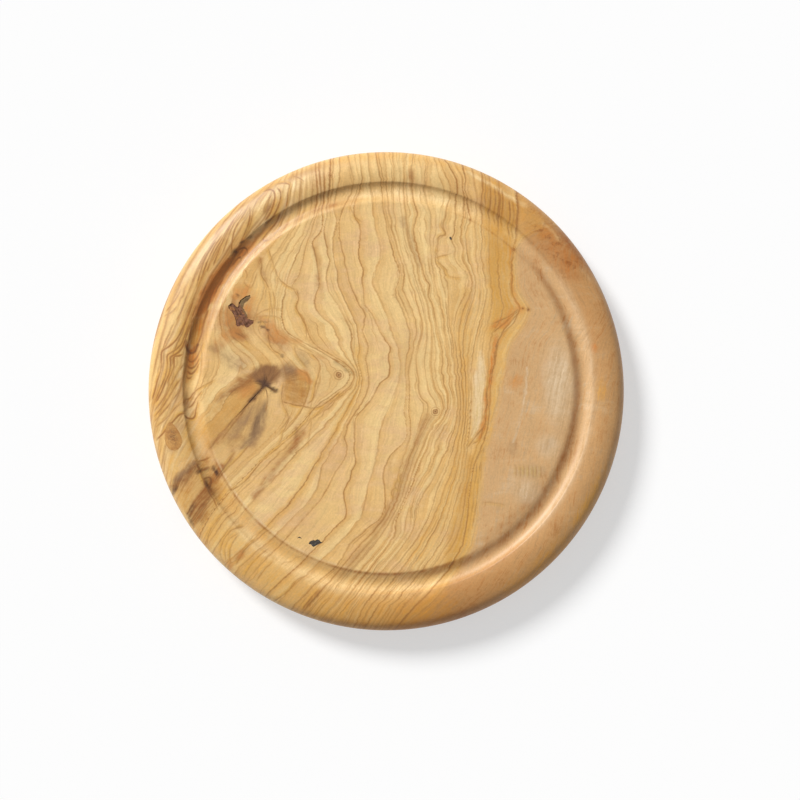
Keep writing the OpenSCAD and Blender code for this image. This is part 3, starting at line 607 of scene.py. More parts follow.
BARK_OUTLINE = (
    (-7.2, 3.6), (-5.6, 5.0), (-4.2, 5.2), (-2.4, 3.2), (-1.0, 2.8), (-0.7, 4.4), (-0.3, 6.0), (1.3, 7.8),
    (4.3, 10.0), (6.7, 10.2), (6.9, 8.8), (5.3, 6.8), (2.7, 4.8), (2.0, 2.4), (3.3, 0.2), (4.8, -2.3),
    (5.3, -4.6), (7.2, -5.4), (9.0, -5.8), (8.4, -7.6), (5.9, -9.8), (4.4, -10.2), (2.7, -9.0), (1.2, -8.8),
    (-0.8, -9.8), (-2.4, -8.6), (-2.4, -5.8), (-3.6, -2.3), (-5.4, 0.3), (-7.0, 2.0),
)
LARGE_VOID_OUTLINE = (
    (-4.5, -0.2), (-3.5, 1), (-1.5, 1.9), (-0.5, 1.4), (0.9, 2.3), (2.5, 1.7), (3, 0.8), (4.3, 0.2),
    (3, -0.3), (1.5, -1), (-0.3, -2), (-1.5, -2.5), (-2.3, -1.8), (-3, -0.9), (-4, -0.8),
)
SMALL_VOID_OUTLINE = (
    (-1.5, -0.6), (-0.9, 0.2), (-0.2, 0.6), (0.5, 0.3), (1.5, -0.8), (0.4, -0.3), (-0.4, -0.2),
)


def linear(red, green, blue):
    """A colour written as screen values from 0 to 255, as Blender's own linear numbers."""
    def one(value):
        value /= 255
        return value / 12.92 if value <= 0.04045 else ((value + 0.055) / 1.055) ** 2.4
    return one(red), one(green), one(blue)


def number_prop(name, description, default, **kind):
    return bpy.props.FloatProperty(name=name, description=description, default=default, **kind)


def length_prop(name, description, default):
    return number_prop(name, description, default, unit="LENGTH", precision=5)


def angle_prop(name, description, degrees):
    return number_prop(name, description, math.radians(degrees), subtype="ANGLE")


def colour_prop(name, description, default):
    return bpy.props.FloatVectorProperty(
        name=name, description=description, default=linear(*default), size=3, subtype="COLOR", min=0, max=1)


class BoardShape(bpy.types.PropertyGroup):
    """Sizes of the turned board."""

    diameter: length_prop("Diameter", "Across the outer edge", BOARD_HIGH.x - BOARD_LOW.x)
    rim_height: length_prop("Rim height", "From the underside to the crest of the rim", BOARD_HIGH.z)
    floor_drop: length_prop("Floor drop", "Serving floor below the rim's crest", 1.2 * MM)
    crest_inset: length_prop("Crest inset", "Crest of the rim in from the outer edge", 15 * MM)
    crest_round: length_prop("Crest", "Radius of the rim's crowned top", 26 * MM)
    shoulder_round: length_prop("Shoulder", "Radius of the rim's outer shoulder", 9 * MM)
    edge_round: length_prop("Lower edge", "Radius of the lower outer edge", 10 * MM)
    groove_round: length_prop("Groove", "Radius of the juice groove's bottom", 6.8 * MM)
    groove_depth: length_prop("Groove depth", "Juice groove below the floor", 2.6 * MM)
    groove_inset: length_prop("Groove inset", "Groove's lowest line in from the outer edge", 27.2 * MM)
    groove_slope: angle_prop("Groove slope", "Slope from the floor into the groove", 27)
    floor_arris: length_prop("Floor arris", "Worn roundness of the groove's edge on the floor", 1.1 * MM)
    rim_arris: length_prop("Rim arris", "Worn roundness of the groove's edge on the rim", 0.7 * MM)
    off_centre: length_prop(
        "Groove off centre", "How far the groove was turned from the middle of the edge", 0.9 * MM)
    floor_wear: length_prop(
        "Floor wear", "How far the floor's edge is worn down at the front right", 0.55 * MM)
    oval: number_prop(
        "Oval", "How much longer the seasoned board is along its grain than across it", 0.0105,
        subtype="FACTOR")


class WoodColours(bpy.types.PropertyGroup):
    """Colours of the wood and of what is let into it; some of them also paint shade and highlights."""

    ground: colour_prop("Ground", "Open wood between the growth lines", (228, 187, 122))
    pale: colour_prop("Pale", "Palest sapwood", (241, 209, 147))
    tan: colour_prop("Tan", "Deeper bands along the growth", (208, 157, 86))
    pink: colour_prop("Pink", "Faint flush of the figure", (219, 177, 131))
    plain: colour_prop("Plain", "Even wood right of the growth boundary", (209, 167, 116))
    plain_deep: colour_prop("Plain, deep", "Darker fibre in the even wood", (176, 128, 78))
    plain_pale: colour_prop("Plain, pale", "Paler clouds in the even wood", (216, 183, 142))
    # The rim tint is partly painted shade: it darkens the rim most on the side away from the light, and the
    # groove at the front left
    rim: colour_prop("Rim tint", "How the turned rim and groove deepen the wood's colour", (226, 202, 166))
    gold: colour_prop("Gold", "Golden streaks", (214, 163, 80))
    # Brown also paints shade in the groove, along the floor's edge and on the rim's outer edge at the back
    # left
    brown: colour_prop("Brown", "Brown heartwood", (150, 92, 38))
    amber: colour_prop("Amber", "Deep amber heartwood", (194, 94, 6))
    # Bleached also paints highlights on the groove's rim side and on the floor's edge
    bleached_and_highlight: colour_prop("Bleached", "Wood worn pale and dry", (214, 188, 152))
    # Cream also paints sheen and highlights on the rim, and lightens the shade in the groove at the back
    cream_and_highlight: colour_prop("Cream", "Creamy wood of the rim", (246, 218, 164))
    orange: colour_prop("Orange", "Resinous stains", (202, 136, 68))
    grey: colour_prop("Grey", "Greyed wood", (152, 118, 82))
    dark: colour_prop("Dark", "Darkest heartwood", (72, 44, 26))
    line: colour_prop("Growth line", "Late wood of a growth line", (164, 112, 54))
    bark: colour_prop("Bark", "Enclosed bark", (134, 92, 70))
    lichen: colour_prop("Olive bark", "Greenish prong of the bark", (124, 104, 70))
    filler: colour_prop("Filler", "Dark filler in the voids", (44, 36, 26))


class StageLook(bpy.types.PropertyGroup):
    """The floor, the light and the camera."""

    sun_height: angle_prop("Light height", "Angle of the light above the floor", 36.5)
    sun_turn: angle_prop("Light turn", "Where the light comes from, from the right and anticlockwise", 133)
    sun_spread: angle_prop("Light softness", "Angle that the light spans", 18)
    sun_strength: number_prop("Light strength", "Power of the light", 3.72)
    sky_strength: number_prop("Fill strength", "Even light from all round", 0.272)
    floor_glow: number_prop(
        "Floor white", "Share of plain white in the floor that the camera sees", 0.52, subtype="FACTOR")
    lens: number_prop("Lens", "Focal length of the camera", 85, unit="CAMERA")
    height: angle_prop("View height", "Angle of the camera above the floor", 85)
    field: length_prop("Field", "Width of the picture at the board", 505.0 * MM)


class Value:
    """A shader value: an output socket that takes part in Python arithmetic."""

    def __init__(self, graph, socket):
        self.graph, self.socket = graph, socket

    def _math(self, operation, *others):
        sockets = dict(enumerate((self, *others)))
        return self.graph.node("ShaderNodeMath", {"operation": operation}, sockets)

    def __add__(self, other):
        return self._math("ADD", other)

    __radd__ = __add__

    def __mul__(self, other):
        return self._math("MULTIPLY", other)

    __rmul__ = __mul__

    def __sub__(self, other):
        return self._math("SUBTRACT", other)

    def __rsub__(self, other):
        return (self * -1.0)._math("ADD", other)

    def __truediv__(self, other):
        return self._math("DIVIDE", other)

    def __neg__(self):
        return self * -1.0

    def __pow__(self, other):
        return self._math("POWER", other)

    def __rpow__(self, other):
        return self.graph.node("ShaderNodeMath", {"operation": "POWER"}, {0: other, 1: self})

    def floor(self):
        return self._math("FLOOR")

    def doublings(self):
        """How often 1 is doubled to reach the value."""
        return self._math("LOGARITHM", 2.0)

    def cosine(self):
        return self._math("COSINE")

    def sine(self):
        return self._math("SINE")

    def exp(self):
        return self._math("EXPONENT")

    def clamp(self):
        return self.graph.node("ShaderNodeClamp", {}, {"Value": self})

    def least(self, other):
        return self._math("MINIMUM", other)

    def most(self, other):
        return self._math("MAXIMUM", other)

    def bell(self, width, power=2.0):
        """1 where the value is 0, and less and less on both sides of it."""
        return (-((self / width) ** power)).exp()

    def fade(self, length):
        """1 where the value is 0, falling off over a length."""
        return (-(self / length)).exp()

    def step(self, low, high):
        """0 below low, 1 above high, and a smooth rise between them."""
        return self.graph.node(
            "ShaderNodeMapRange", {"interpolation_type": "SMOOTHSTEP"},
            {"Value": self, "From Min": low, "From Max": high})


class Graph:
    """A node tree under construction, with the one way in which its nodes are made."""

    def __init__(self, tree):
        self.tree = tree
        tree.nodes.clear()

    def node(self, kind, settings=None, sockets=None, out=0):
        """Any node: its settings first, then the values or links of its sockets. Gives one output."""
        made = self.tree.nodes.new(kind)
        for name, value in (settings or {}).items():
            setattr(made, name, value)
        for name, value in (sockets or {}).items():
            if isinstance(value, Value):
                self.tree.links.new(value.socket, made.inputs[name])
            else:
                made.inputs[name].default_value = value
        return Value(self, made.outputs[out]) if made.outputs else made

    def seen(self):
        """1 where a surface is looked at, straight or in a reflection, and 0 where it only gives light."""
        kinds = self.node("ShaderNodeLightPath").socket.node.outputs
        camera, glossy, through = (Value(self, kinds[name]) for name in (
            "Is Camera Ray", "Is Glossy Ray", "Is Transmission Ray"))
        return camera.most(glossy).most(through)


class Finish(Graph):
    """A material under construction."""

    def __init__(self, name):
        self.material = bpy.data.materials.new(name)
        self.material.use_nodes = True
        super().__init__(self.material.node_tree)

    def attribute(self, name):
        return self.node("ShaderNodeAttribute", {"attribute_name": name}, out="Fac")

    def place(self):
        """Place on the object, in millimetres."""
        spot = self.node("ShaderNodeTexCoord", out="Object")
        return self.node("ShaderNodeVectorMath", {"operation": "SCALE"}, {0: spot, "Scale": 1 / MM})

    def parts(self, vector):
        split = self.node("ShaderNodeSeparateXYZ", {}, {0: vector}).socket.node
        return [Value(self, socket) for socket in split.outputs]

    def vector(self, x, y, z=0.0):
        return self.node("ShaderNodeCombineXYZ", {}, {0: x, 1: y, 2: z})

    def noise(self, vector, size, detail=2.0, roughness=0.5):
        """Noise from 0 to 1, whose blotches are about size wide."""
        sockets = {"Vector": vector, "Scale": 1 / size, "Detail": detail, "Roughness": roughness}
        return self.node("ShaderNodeTexNoise", {"noise_dimensions": "3D"}, sockets)

    def swing(self, vector, size, detail=2.0, roughness=0.5):
        """Noise about 0, mostly between -1 and 1."""
        return ((self.noise(vector, size, detail, roughness) - 0.5) * 3.4).most(-1.2).least(1.2)

    def chance(self, value):
        """A steady random number from 0 to 1 for each whole value."""
        return self.node("ShaderNodeTexWhiteNoise", {"noise_dimensions": "1D"}, {"W": value})

    def mix(self, low, high, factor, blend="MIX"):
        """Colour low, going to colour high where factor is 1."""
        low, high = [c if isinstance(c, Value) else (*c, 1.0) for c in (low, high)]
        settings = {"data_type": "RGBA", "blend_type": blend, "clamp_factor": True}
        return self.node("ShaderNodeMix", settings, {0: factor, 6: low, 7: high}, out=2)

    def coats(self, base, *coats, blend="MIX"):
        """A colour with others over it in turn, each with its factor."""
        for shade, factor in coats:
            base = self.mix(base, shade, factor, blend)
        return base

    def bump(self, height, strength, distance):
        sockets = {"Strength": strength, "Distance": distance, "Height": height}
        return self.node("ShaderNodeBump", {}, sockets)

    def finish(self, **sockets):
        """The surface, from the named sockets of one Principled shader."""
        names = {name.replace("_", " ").title().replace("Ior", "IOR"): value
                 for name, value in sockets.items()}
        shader = self.node("ShaderNodeBsdfPrincipled", {}, names)
        self.node("ShaderNodeOutputMaterial", {}, {"Surface": shader})
        return self.material


def on_board(x, y):
    """Place on the board of a point of the drawing, in millimetres."""
    return (x - DRAWING_SHIFT[0]) / DRAWING_SCALE[0], (y - DRAWING_SHIFT[1]) / DRAWING_SCALE[1]


def follow(points, y):
    """x of one growth line at each y, on a smooth curve through its points and straight beyond them."""
    along = np.array(points, float)[::-1]
    ys, xs = along[:, 1], along[:, 0]
    slopes = np.gradient(xs, ys)
    spot = np.clip(np.searchsorted(ys, y) - 1, 0, len(ys) - 2)
    span = ys[spot + 1] - ys[spot]
    t = np.clip((y - ys[spot]) / span, 0, 1)
    x = ((2 * t**3 - 3 * t**2 + 1) * xs[spot] + (t**3 - 2 * t**2 + t) * span * slopes[spot]
         + (3 * t**2 - 2 * t**3) * xs[spot + 1] + (t**3 - t**2) * span * slopes[spot + 1])
    over, under = np.maximum(y - ys[-1], 0), np.minimum(y - ys[0], 0)
    return x + over * slopes[-1] + under * slopes[0]


def off_segment(a, b, x, y):
    """Distance of each place from the straight piece between two points."""
    dx, dy = b[0] - a[0], b[1] - a[1]
    t = np.clip(((x - a[0]) * dx + (y - a[1]) * dy) / (dx * dx + dy * dy), 0, 1)
    return np.hypot(x - a[0] - t * dx, y - a[1] - t * dy)


def around(points):
    """Each point of a closed outline with the next one."""
    return zip(points, (*points[1:], points[0]))


def bell(value, middle, width, power=2):
    """1 at a middle value, and less and less on both sides of it."""
    return np.exp(-((value - middle) / width) ** power)


def ramp(value, start, run):
    """0 up to a start value, then rising to 1 over a run beyond it, or before it if that is negative."""
    return np.clip((value - start) / run, 0, 1)


# Growth lines keep this far apart, and go on at these spacings beyond the first and the last drawn line
LEAST_GAP, OUTER_GAP, PLAIN_GAP = 0.5, 5.0, 8.0
OUTER_INK = 0.5


def growth_at(x, y):
    """At each place the count of growth lines passed, their spacing, how dark the nearest is, and how far
    the place lies beyond the last."""
    lines = np.stack([follow(points, y) for _, points in GROWTH_LINES])
    tilt = np.stack([follow(points, y + 1) for _, points in GROWTH_LINES]) - lines
    for k in range(1, len(lines)):
        lines[k] = np.maximum(lines[k], lines[k - 1] + LEAST_GAP)
    last = len(lines) - 1
    passed = (lines <= x).sum(0)
    left, right = np.clip(passed - 1, 0, last), np.clip(passed, 0, last)
    rows = np.arange(len(x))
    gap = lines[right, rows] - lines[left, rows]
    gap = np.where(passed == 0, OUTER_GAP, np.where(passed > last, PLAIN_GAP, gap))
    base = np.where(passed == 0, lines[0], lines[left, rows])
    count = np.where(passed == 0, 0, passed - 1) + (x - base) / gap
    lean = (tilt[left, rows] + tilt[right, rows]) / 2
    inks = np.array([*(ink for ink, _ in GROWTH_LINES), 0.0])
    nearest = np.round(count).astype(int)
    ink = np.where(nearest < 0, OUTER_INK, inks[np.clip(nearest, 0, len(inks) - 1)])
    plain = x - lines[last]
    return count, gap / np.sqrt(1 + lean**2), ink, plain


def stain_at(colouring, x, y):
    """Strength of one stain at each place, from its spots and streaks."""
    clear = np.ones_like(x)
    spots, streaks = colouring
    for sx, sy, long, wide, turn, strength in spots:
        c, s = math.cos(math.radians(turn)), math.sin(math.radians(turn))
        a, b = ((x - sx) * c + (y - sy) * s) / long, ((y - sy) * c - (x - sx) * s) / wide
        clear *= 1 - strength * np.exp(-((a * a + b * b) ** 1.8))
    for strength, wide, points in streaks:
        away = np.minimum.reduce([off_segment(a, b, x, y) for a, b in zip(points, points[1:])])
        clear *= 1 - strength * np.exp(-((away / wide) ** 2.4))
    return 1 - clear


def patch_at(soft, outline, x, y):
    """1 inside an outline and 0 outside it, with a soft edge."""
    away = np.minimum.reduce([off_segment(a, b, x, y) for a, b in around(outline)])
    inside = np.zeros(len(x), bool)
    for (ax, ay), (bx, by) in around(outline):
        if ay != by:
            inside ^= ((ay > y) != (by > y)) & (x < ax + (y - ay) * (bx - ax) / (by - ay))
    share = np.clip(np.where(inside, away, -away) / (2 * soft) + 0.5, 0, 1)
    return share * share * (3 - 2 * share)


def smooth_line(points, pieces=4):
    """Points along a smooth curve through the given ones."""
    line = np.array(points, float)
    ends = np.vstack([2 * line[0] - line[1], line, 2 * line[-1] - line[-2]])
    t = np.linspace(0, 1, pieces, endpoint=False)[:, None]
    found = [((-t**3 + 2 * t**2 - t) * a + (3 * t**3 - 5 * t**2 + 2) * b + (-3 * t**3 + 4 * t**2 + t) * c
              + (t**3 - t**2) * d) / 2 for a, b, c, d in zip(ends, ends[1:], ends[2:], ends[3:])]
    return np.vstack([*found, line[-1:]])


# Strokes are drawn in sets. Each is full up to one distance and gone at its reach, tapers over a length at
# its ends from the share that its tip keeps, and fades out past them.
STROKE_SETS = 4
STROKE_FULL, STROKE_REACH = 1.3, 2.4
STROKE_TAPER, STROKE_TIP, STROKE_PAST = 3.0, 0.25, 0.8
FAR, OUT_OF_REACH = 1e9, 9.0


def stroke_at(line, x, y):
    """How far each place lies to the side of a stroke, and how far along and beyond its ends it is."""
    best, side, along, beyond = (np.full(len(x), v) for v in (FAR, FAR, 0.0, 0.0))
    run = 0.0
    for i, ((ax, ay), (bx, by)) in enumerate(zip(line, line[1:])):
        dx, dy = bx - ax, by - ay
        long = math.hypot(dx, dy)
        t = ((x - ax) * dx + (y - ay) * dy) / long**2
        inside = np.clip(t, 0, 1)
        gone = np.hypot(x - ax - inside * dx, y - ay - inside * dy)
        across = ((x - ax) * dy - (y - ay) * dx) / long
        nearer = gone < best
        past = np.maximum(-t if i == 0 else 0, t - 1 if i == len(line) - 2 else 0) * long
        signed = np.where(across < 0, -gone, gone)
        for kept, found in ((side, signed), (along, run + inside * long), (beyond, past)):
            kept[nearer] = np.broadcast_to(found, x.shape)[nearer]
        best = np.minimum(best, gone)
        run += long
    return side, along, run, np.maximum(beyond, 0)


def clearance(line, others):
    """Least distance between the points of a stroke and those of some others."""
    gaps = [np.hypot(*(line[:, None] - other[None]).transpose(2, 0, 1)).min() for other in others]
    return min(gaps, default=FAR)


def strokes_at(x, y):
    """Distance from the nearest stroke and its darkness at each place, in sets that keep strokes apart."""
    lines = [smooth_line(points) for _, points in STROKES]
    sets = [[] for _ in range(STROKE_SETS)]
    for k, line in enumerate(lines):
        room = [clearance(line, [lines[other] for other in chosen]) for chosen in sets]
        sets[room.index(max(room))].append(k)
    values = {}
    for number, chosen in enumerate(sets):
        distance, ink = np.full(len(x), OUT_OF_REACH), np.zeros(len(x))
        for k in chosen:
            low, high = lines[k].min(0) - STROKE_REACH, lines[k].max(0) + STROKE_REACH
            near = np.flatnonzero((x > low[0]) & (x < high[0]) & (y > low[1]) & (y < high[1]))
            side, along, run, beyond = stroke_at(lines[k], x[near], y[near])
            fade = np.clip(1 - (np.abs(side) - STROKE_FULL) / (STROKE_REACH - STROKE_FULL), 0, 1)
            taper = np.clip(np.minimum(along, run - along) / STROKE_TAPER + STROKE_TIP, 0, 1)
            taper *= np.clip(1 - beyond / STROKE_PAST, 0, 1)
            closer = np.abs(side) < np.abs(distance[near])
            distance[near] = np.where(closer, side, distance[near])
            ink[near] = np.where(closer, STROKES[k][0] * fade * taper, ink[near])
        values[f"stroke_{number}"], values[f"stroke_ink_{number}"] = distance, ink
    return values


# The groove was turned off centre, which is lost over a run inside this radius of the edge
CENTRED_RADIUS, CENTRED_RUN = 146, 14
# Below the top the layers of the plank slant by these shares of the depth, from a skin that follows the top
LAYER_SLANT, SKIN = (0.55, 0.12), 0.4
# The softness of the growth boundary, and how far before it the wood is golden
BOUNDARY_SOFT, GOLD_BEFORE, GOLD_HALF = 0.8, 2.2, 3.0
# Degrees over which a stain along the turned form fades at its ends
RING_FADE = 10


def rim_tint_and_shade(radius, bearing):
    """Darkening of the rim and groove at each radius and bearing: partly a deeper tint, partly painted
    shade.
    """
    # Painted shade: the rim is darkened most at the front right, away from the light, and least at the back
    # left, towards it
    front = np.where(bearing < -1.3, 0.42, 0.46)
    deep = 0.27 + 0.17 * np.cos(bearing) + 0.52 * bell(bearing, -1.3, front)
    deep -= 0.2 * bell(np.abs(bearing), 2.75, 0.6)
    deep += 0.3 * bell(bearing, 0.6, 0.5) - 0.25 * bell(bearing, 1.6, 0.5)
    rim = ramp(radius, 126.5, 3.0) * np.clip(deep, 0, 1.3)
    # Painted shade in the groove at the front left
    groove = ramp(radius, 116, 4.0) * ramp(radius, 131, -2.0)
    return np.maximum(rim, groove * 0.12 * bell(bearing, -2.3, 0.5))


def bold_lines(radius, bearing):
    """Where the growth lines are bold: on the left of the rim, and a little at its back right."""
    turn = np.mod(bearing, 2 * np.pi)
    left = ramp(turn, 1.7, 0.4) * ramp(turn, 3.8, -0.3)
    return np.maximum(left, 0.4 * bell(turn, 1.05, 0.22, 4)) * ramp(radius, 118, 5.0)


def wandered(x, y):
    """Places moved a little to and fro, which makes the edges of stains wander."""
    wander = np.array([
        noise.noise_vector(Vector((a / 9, b / 9, 0))) * 1.9
        + noise.noise_vector(Vector((a / 2.7, b / 2.7, 5))) * 0.75 for a, b in zip(x, y)])
    return x + wander[:, 0], y + wander[:, 1]


def paint_growth(mesh, top_height, off_centre):
    """Writes the plank's figure and painted light on the groove and rim to a mesh as numbers at its
    vertices.
    """
    place = np.empty(len(mesh.vertices) * 3, np.float32)
    mesh.vertices.foreach_get("co", place)
    x, y, z = (place.reshape(-1, 3).astype(float) / MM).T
    under = np.maximum(top_height(np.hypot(x, y)) - z - SKIN, 0)
    shift = ramp(np.hypot(x, y), CENTRED_RADIUS, -CENTRED_RUN) * off_centre / MM
    radius = np.hypot(x - shift, y - shift)
    bearing = np.arctan2(y, x)
    x, y = ((at + slant * under) * scale + moved for at, slant, scale, moved in zip(
        (x, y), LAYER_SLANT, DRAWING_SCALE, DRAWING_SHIFT))
    count, spacing, ink, plain = growth_at(x, y)
    # The rim value is a tint that is partly painted shade, deepest on the side away from the light
    values = {"growth": count, "spacing": spacing, "ink": ink,
              "plain": 1 / (1 + np.exp(-plain / BOUNDARY_SOFT)),
              "rim": rim_tint_and_shade(radius, bearing), "bold": bold_lines(radius, bearing)}
    values.update(strokes_at(x, y))
    x, y = wandered(x, y)
    colourings = {name: stain_at(colouring, x, y) for name, colouring in STAINS.items()}

    # Lays stains, and rings of painted shade and highlight, one over another
    def colouring(name, strength, share):
        kept = colourings[name]
        colourings[name] = (kept * (1 + strength * share) if strength < 0
                        else 1 - (1 - kept) * (1 - strength * share))

    # The wood is golden all along the boundary
    colouring("gold", 0.5, bell(np.abs(plain + GOLD_BEFORE), 0, GOLD_HALF, 3))
    for strengths, soft, outline in PATCHES:
        share = patch_at(soft, outline, x, y)
        for name, strength in strengths.items():
            colouring(name, strength, share)
    degrees = np.degrees(bearing)
    # Rings along the turned form, many of them painted shade and highlights in the groove and on the rim
    for name, strength, ring, wide, start, end in RING_STAINS_AND_PAINTED_LIGHT:
        along = np.clip(np.minimum(degrees - start, end - degrees) / RING_FADE, 0, 1)
        colouring(name, strength, along * bell(radius, ring, wide))
    bare = colourings.pop("bare")
    values["ink"] = values["ink"] * (1 - bare)
    colourings["calm"] = np.maximum(colourings["calm"], bare)
    values.update(colourings)
    for name, value in values.items():
        layer = mesh.attributes.new(name, "FLOAT", "POINT")
        layer.data.foreach_set("value", value.astype(np.float32))


def groove_edge(shape):
    """Radius at which the floor turns down into the juice groove, in millimetres."""
    arc, slope = shape.groove_round, shape.groove_slope
    run = (shape.groove_depth - arc * (1 - math.cos(slope))) / math.tan(slope)
    return (shape.diameter / 2 - shape.groove_inset - arc * math.sin(slope) - run) / MM


# A ring near the middle has this many points, and twice as many beyond each of these radii
MIDDLE_POINTS = 44
TOP_DOUBLINGS, UNDERSIDE_DOUBLINGS = (10, 20, 40, 80), (20, 40, 80)
# Rings of the lower edge and the underside, which are not off centre or worn
LOWER_RINGS = 30
# How far the worn edge of the floor reaches in over the floor and out into the groove, and its bearing
WEAR_IN, WEAR_OUT, WEAR_BEARING = 9, 5, -0.6


def ring_points(radius, doublings):
    """How many points a ring has."""
    return MIDDLE_POINTS * 2 ** sum(radius >= limit for limit in doublings)


def section(shape):
    """Rings of the turned form from the middle of the floor over the rim to the middle of the underside:
    radius, height and how many points each has, in millimetres."""
    outer, rim_h = shape.diameter / 2 / MM, shape.rim_height / MM
    floor_h = rim_h - shape.floor_drop / MM
    crest, shoulder = shape.crest_round / MM, shape.shoulder_round / MM
    crest_r, crest_h = outer - shape.crest_inset / MM, rim_h - crest
    shoulder_r = outer - shoulder
    shoulder_h = crest_h + math.sqrt((crest - shoulder)**2 - (shoulder_r - crest_r)**2)
    lower = min(shape.edge_round / MM, shoulder_h - 1)
    arc, slope = shape.groove_round / MM, shape.groove_slope
    groove_r, arc_h = outer - shape.groove_inset / MM, floor_h - shape.groove_depth / MM + arc
    floor_end, slope_end = groove_edge(shape), groove_r - arc * math.sin(slope)
    worn, rim_worn = shape.floor_arris / MM, shape.rim_arris / MM

    # The crease is where the groove's arc meets the crown of the rim
    across = math.hypot(crest_r - groove_r, crest_h - arc_h)
    reach = (across**2 + arc**2 - crest**2) / (2 * across)
    rise = math.sqrt(arc**2 - reach**2)
    ux, uz = (crest_r - groove_r) / across, (crest_h - arc_h) / across
    crease = (groove_r + reach * ux - rise * uz, arc_h + reach * uz + rise * ux)

    line = [(r, floor_h) for r in np.arange(1.2, floor_end - worn - 0.4, 1.1)]
    line.append((floor_end - worn, floor_h))
    groove = [(r, floor_h - (r - floor_end) * math.tan(slope))
              for r in np.linspace(floor_end + worn, slope_end, 4)]
    last = math.atan2(crease[1] - arc_h, crease[0] - groove_r)
    groove += [(groove_r + arc * math.cos(a), arc_h + arc * math.sin(a))
               for a in np.linspace(-math.pi / 2 - slope, last - rim_worn / arc, 12)[1:]]
    start = math.atan2(crease[1] - crest_h, crease[0] - crest_r)
    meet = math.atan2(shoulder_h - crest_h, shoulder_r - crest_r)
    rim = [(crest_r + crest * math.cos(a), crest_h + crest * math.sin(a))
           for a in np.linspace(start - rim_worn / crest, meet, 16)]
    rim += [(shoulder_r + shoulder * math.cos(a), shoulder_h + shoulder * math.sin(a))
            for a in np.linspace(meet, 0, 12)[1:]]
    corner = (floor_end, floor_h)

    def eased(a, b, c):
        return [tuple((1 - t)**2 * p + 2 * t * (1 - t) * q + t * t * s for p, q, s in zip(a, b, c))
                for t in (0.17, 0.33, 0.5, 0.67, 0.83)]

    line += eased(line[-1], corner, groove[0]) + groove + eased(groove[-1], crease, rim[0]) + rim
    line += [(outer - lower + lower * math.cos(a), lower + lower * math.sin(a))
             for a in np.linspace(0, -math.pi / 2, 8)]
    top = np.array([p for p in line if p[1] >= shoulder_h - 1e-6])
    rings = [(r, z, ring_points(r, TOP_DOUBLINGS)) for r, z in line]
    for r in np.arange(outer - lower - 4, 5, -6):
        rings.append((r, 0.0, ring_points(r, UNDERSIDE_DOUBLINGS)))
    return rings, lambda radius: np.interp(radius, top[:, 0], top[:, 1])


def ring_faces(low, n, high, m):
    """Faces between a ring of n points from index low and the next one out, of m points from index high."""
    if n == m:
        return [(low + j, high + j, high + (j + 1) % n, low + (j + 1) % n) for j in range(n)]
    faces = []
    for j in range(min(n, m)):
        k = (j + 1) % min(n, m)
        if m > n:
            b = [high + (2 * j + i) % m for i in range(3)]
            faces += [(low + j, b[0], b[1]), (low + j, b[1], low + k), (low + k, b[1], b[2])]
        else:
            a = [low + (2 * j + i) % n for i in range(3)]
            faces += [(a[0], high + j, a[1]), (a[1], high + j, high + k), (a[1], high + k, a[2])]
    return faces


def turned_mesh(shape):
    """The turned form as one closed mesh, a little oval from seasoning, and its top's height by radius."""
    rings, top_height = section(shape)
    points, faces, starts = [(0, 0, rings[0][1])], [], []
    wide, long = 1 - shape.oval * 0.3, 1 + shape.oval * 0.7
    floor_end = groove_edge(shape)
    for i, (r, z, n) in enumerate(rings):
        starts.append(len(points))
        upper = i < len(rings) - LOWER_RINGS
        shift = shape.off_centre / MM * ramp(r, CENTRED_RADIUS, -CENTRED_RUN) if upper else 0.0
        if r < floor_end:
            near = ramp(r, floor_end - WEAR_IN, WEAR_IN) ** 2
        else:
            near = ramp(r, floor_end + WEAR_OUT, -WEAR_OUT)
        wear = shape.floor_wear / MM * near if upper else 0.0
        for j in range(n):
            a = 2 * math.pi * j / n
            worn = wear * max(0, math.cos(a - WEAR_BEARING)) ** 2
            points.append((r * math.cos(a) * wide + shift, r * math.sin(a) * long + shift, z - worn))
    first, last = rings[0][2], rings[-1][2]
    faces += [(0, 1 + j, 1 + (j + 1) % first) for j in range(first)]
    for (a, (_, _, n)), (b, (_, _, m)) in zip(zip(starts, rings), zip(starts[1:], rings[1:])):
        faces += ring_faces(a, n, b, m)
    end = len(points)
    points.append((0, 0, 0))
    faces += [(end, starts[-1] + (j + 1) % last, starts[-1] + j) for j in range(last)]
    mesh = bpy.data.meshes.new("turned_form")
    mesh.from_pydata([Vector(p) * MM for p in points], [], faces)
    return mesh, top_height


def ragged(outline, centre, steps, jitter, turn=0.0):
    """An outline in plan with its edges broken up, moved to its place, in millimetres."""
    found = []
    c, s = math.cos(turn), math.sin(turn)
    for (ax, ay), (bx, by) in around(outline):
        for i in range(steps):
            t = i / steps
            p = Vector((ax + (bx - ax) * t, ay + (by - ay) * t, 0))
            if i:
                p += noise.noise_vector(p * 1.7 + Vector((centre[0], centre[1], 3.3))) * jitter
            found.append((centre[0] + p.x * c - p.y * s, centre[1] + p.x * s + p.y * c))
    return found


def add_prism(bm, outline, low, high):
    """Adds an upright solid over an outline, from height low to height high, in millimetres."""
    foot = [bm.verts.new((x * MM, y * MM, low * MM)) for x, y in outline]
    head = [bm.verts.new((x * MM, y * MM, high * MM)) for x, y in outline]
    bm.faces.new(foot[::-1])
    bm.faces.new(head)
    for i in range(len(foot)):
        j = (i + 1) % len(foot)
        bm.faces.new((foot[i], foot[j], head[j], head[i]))


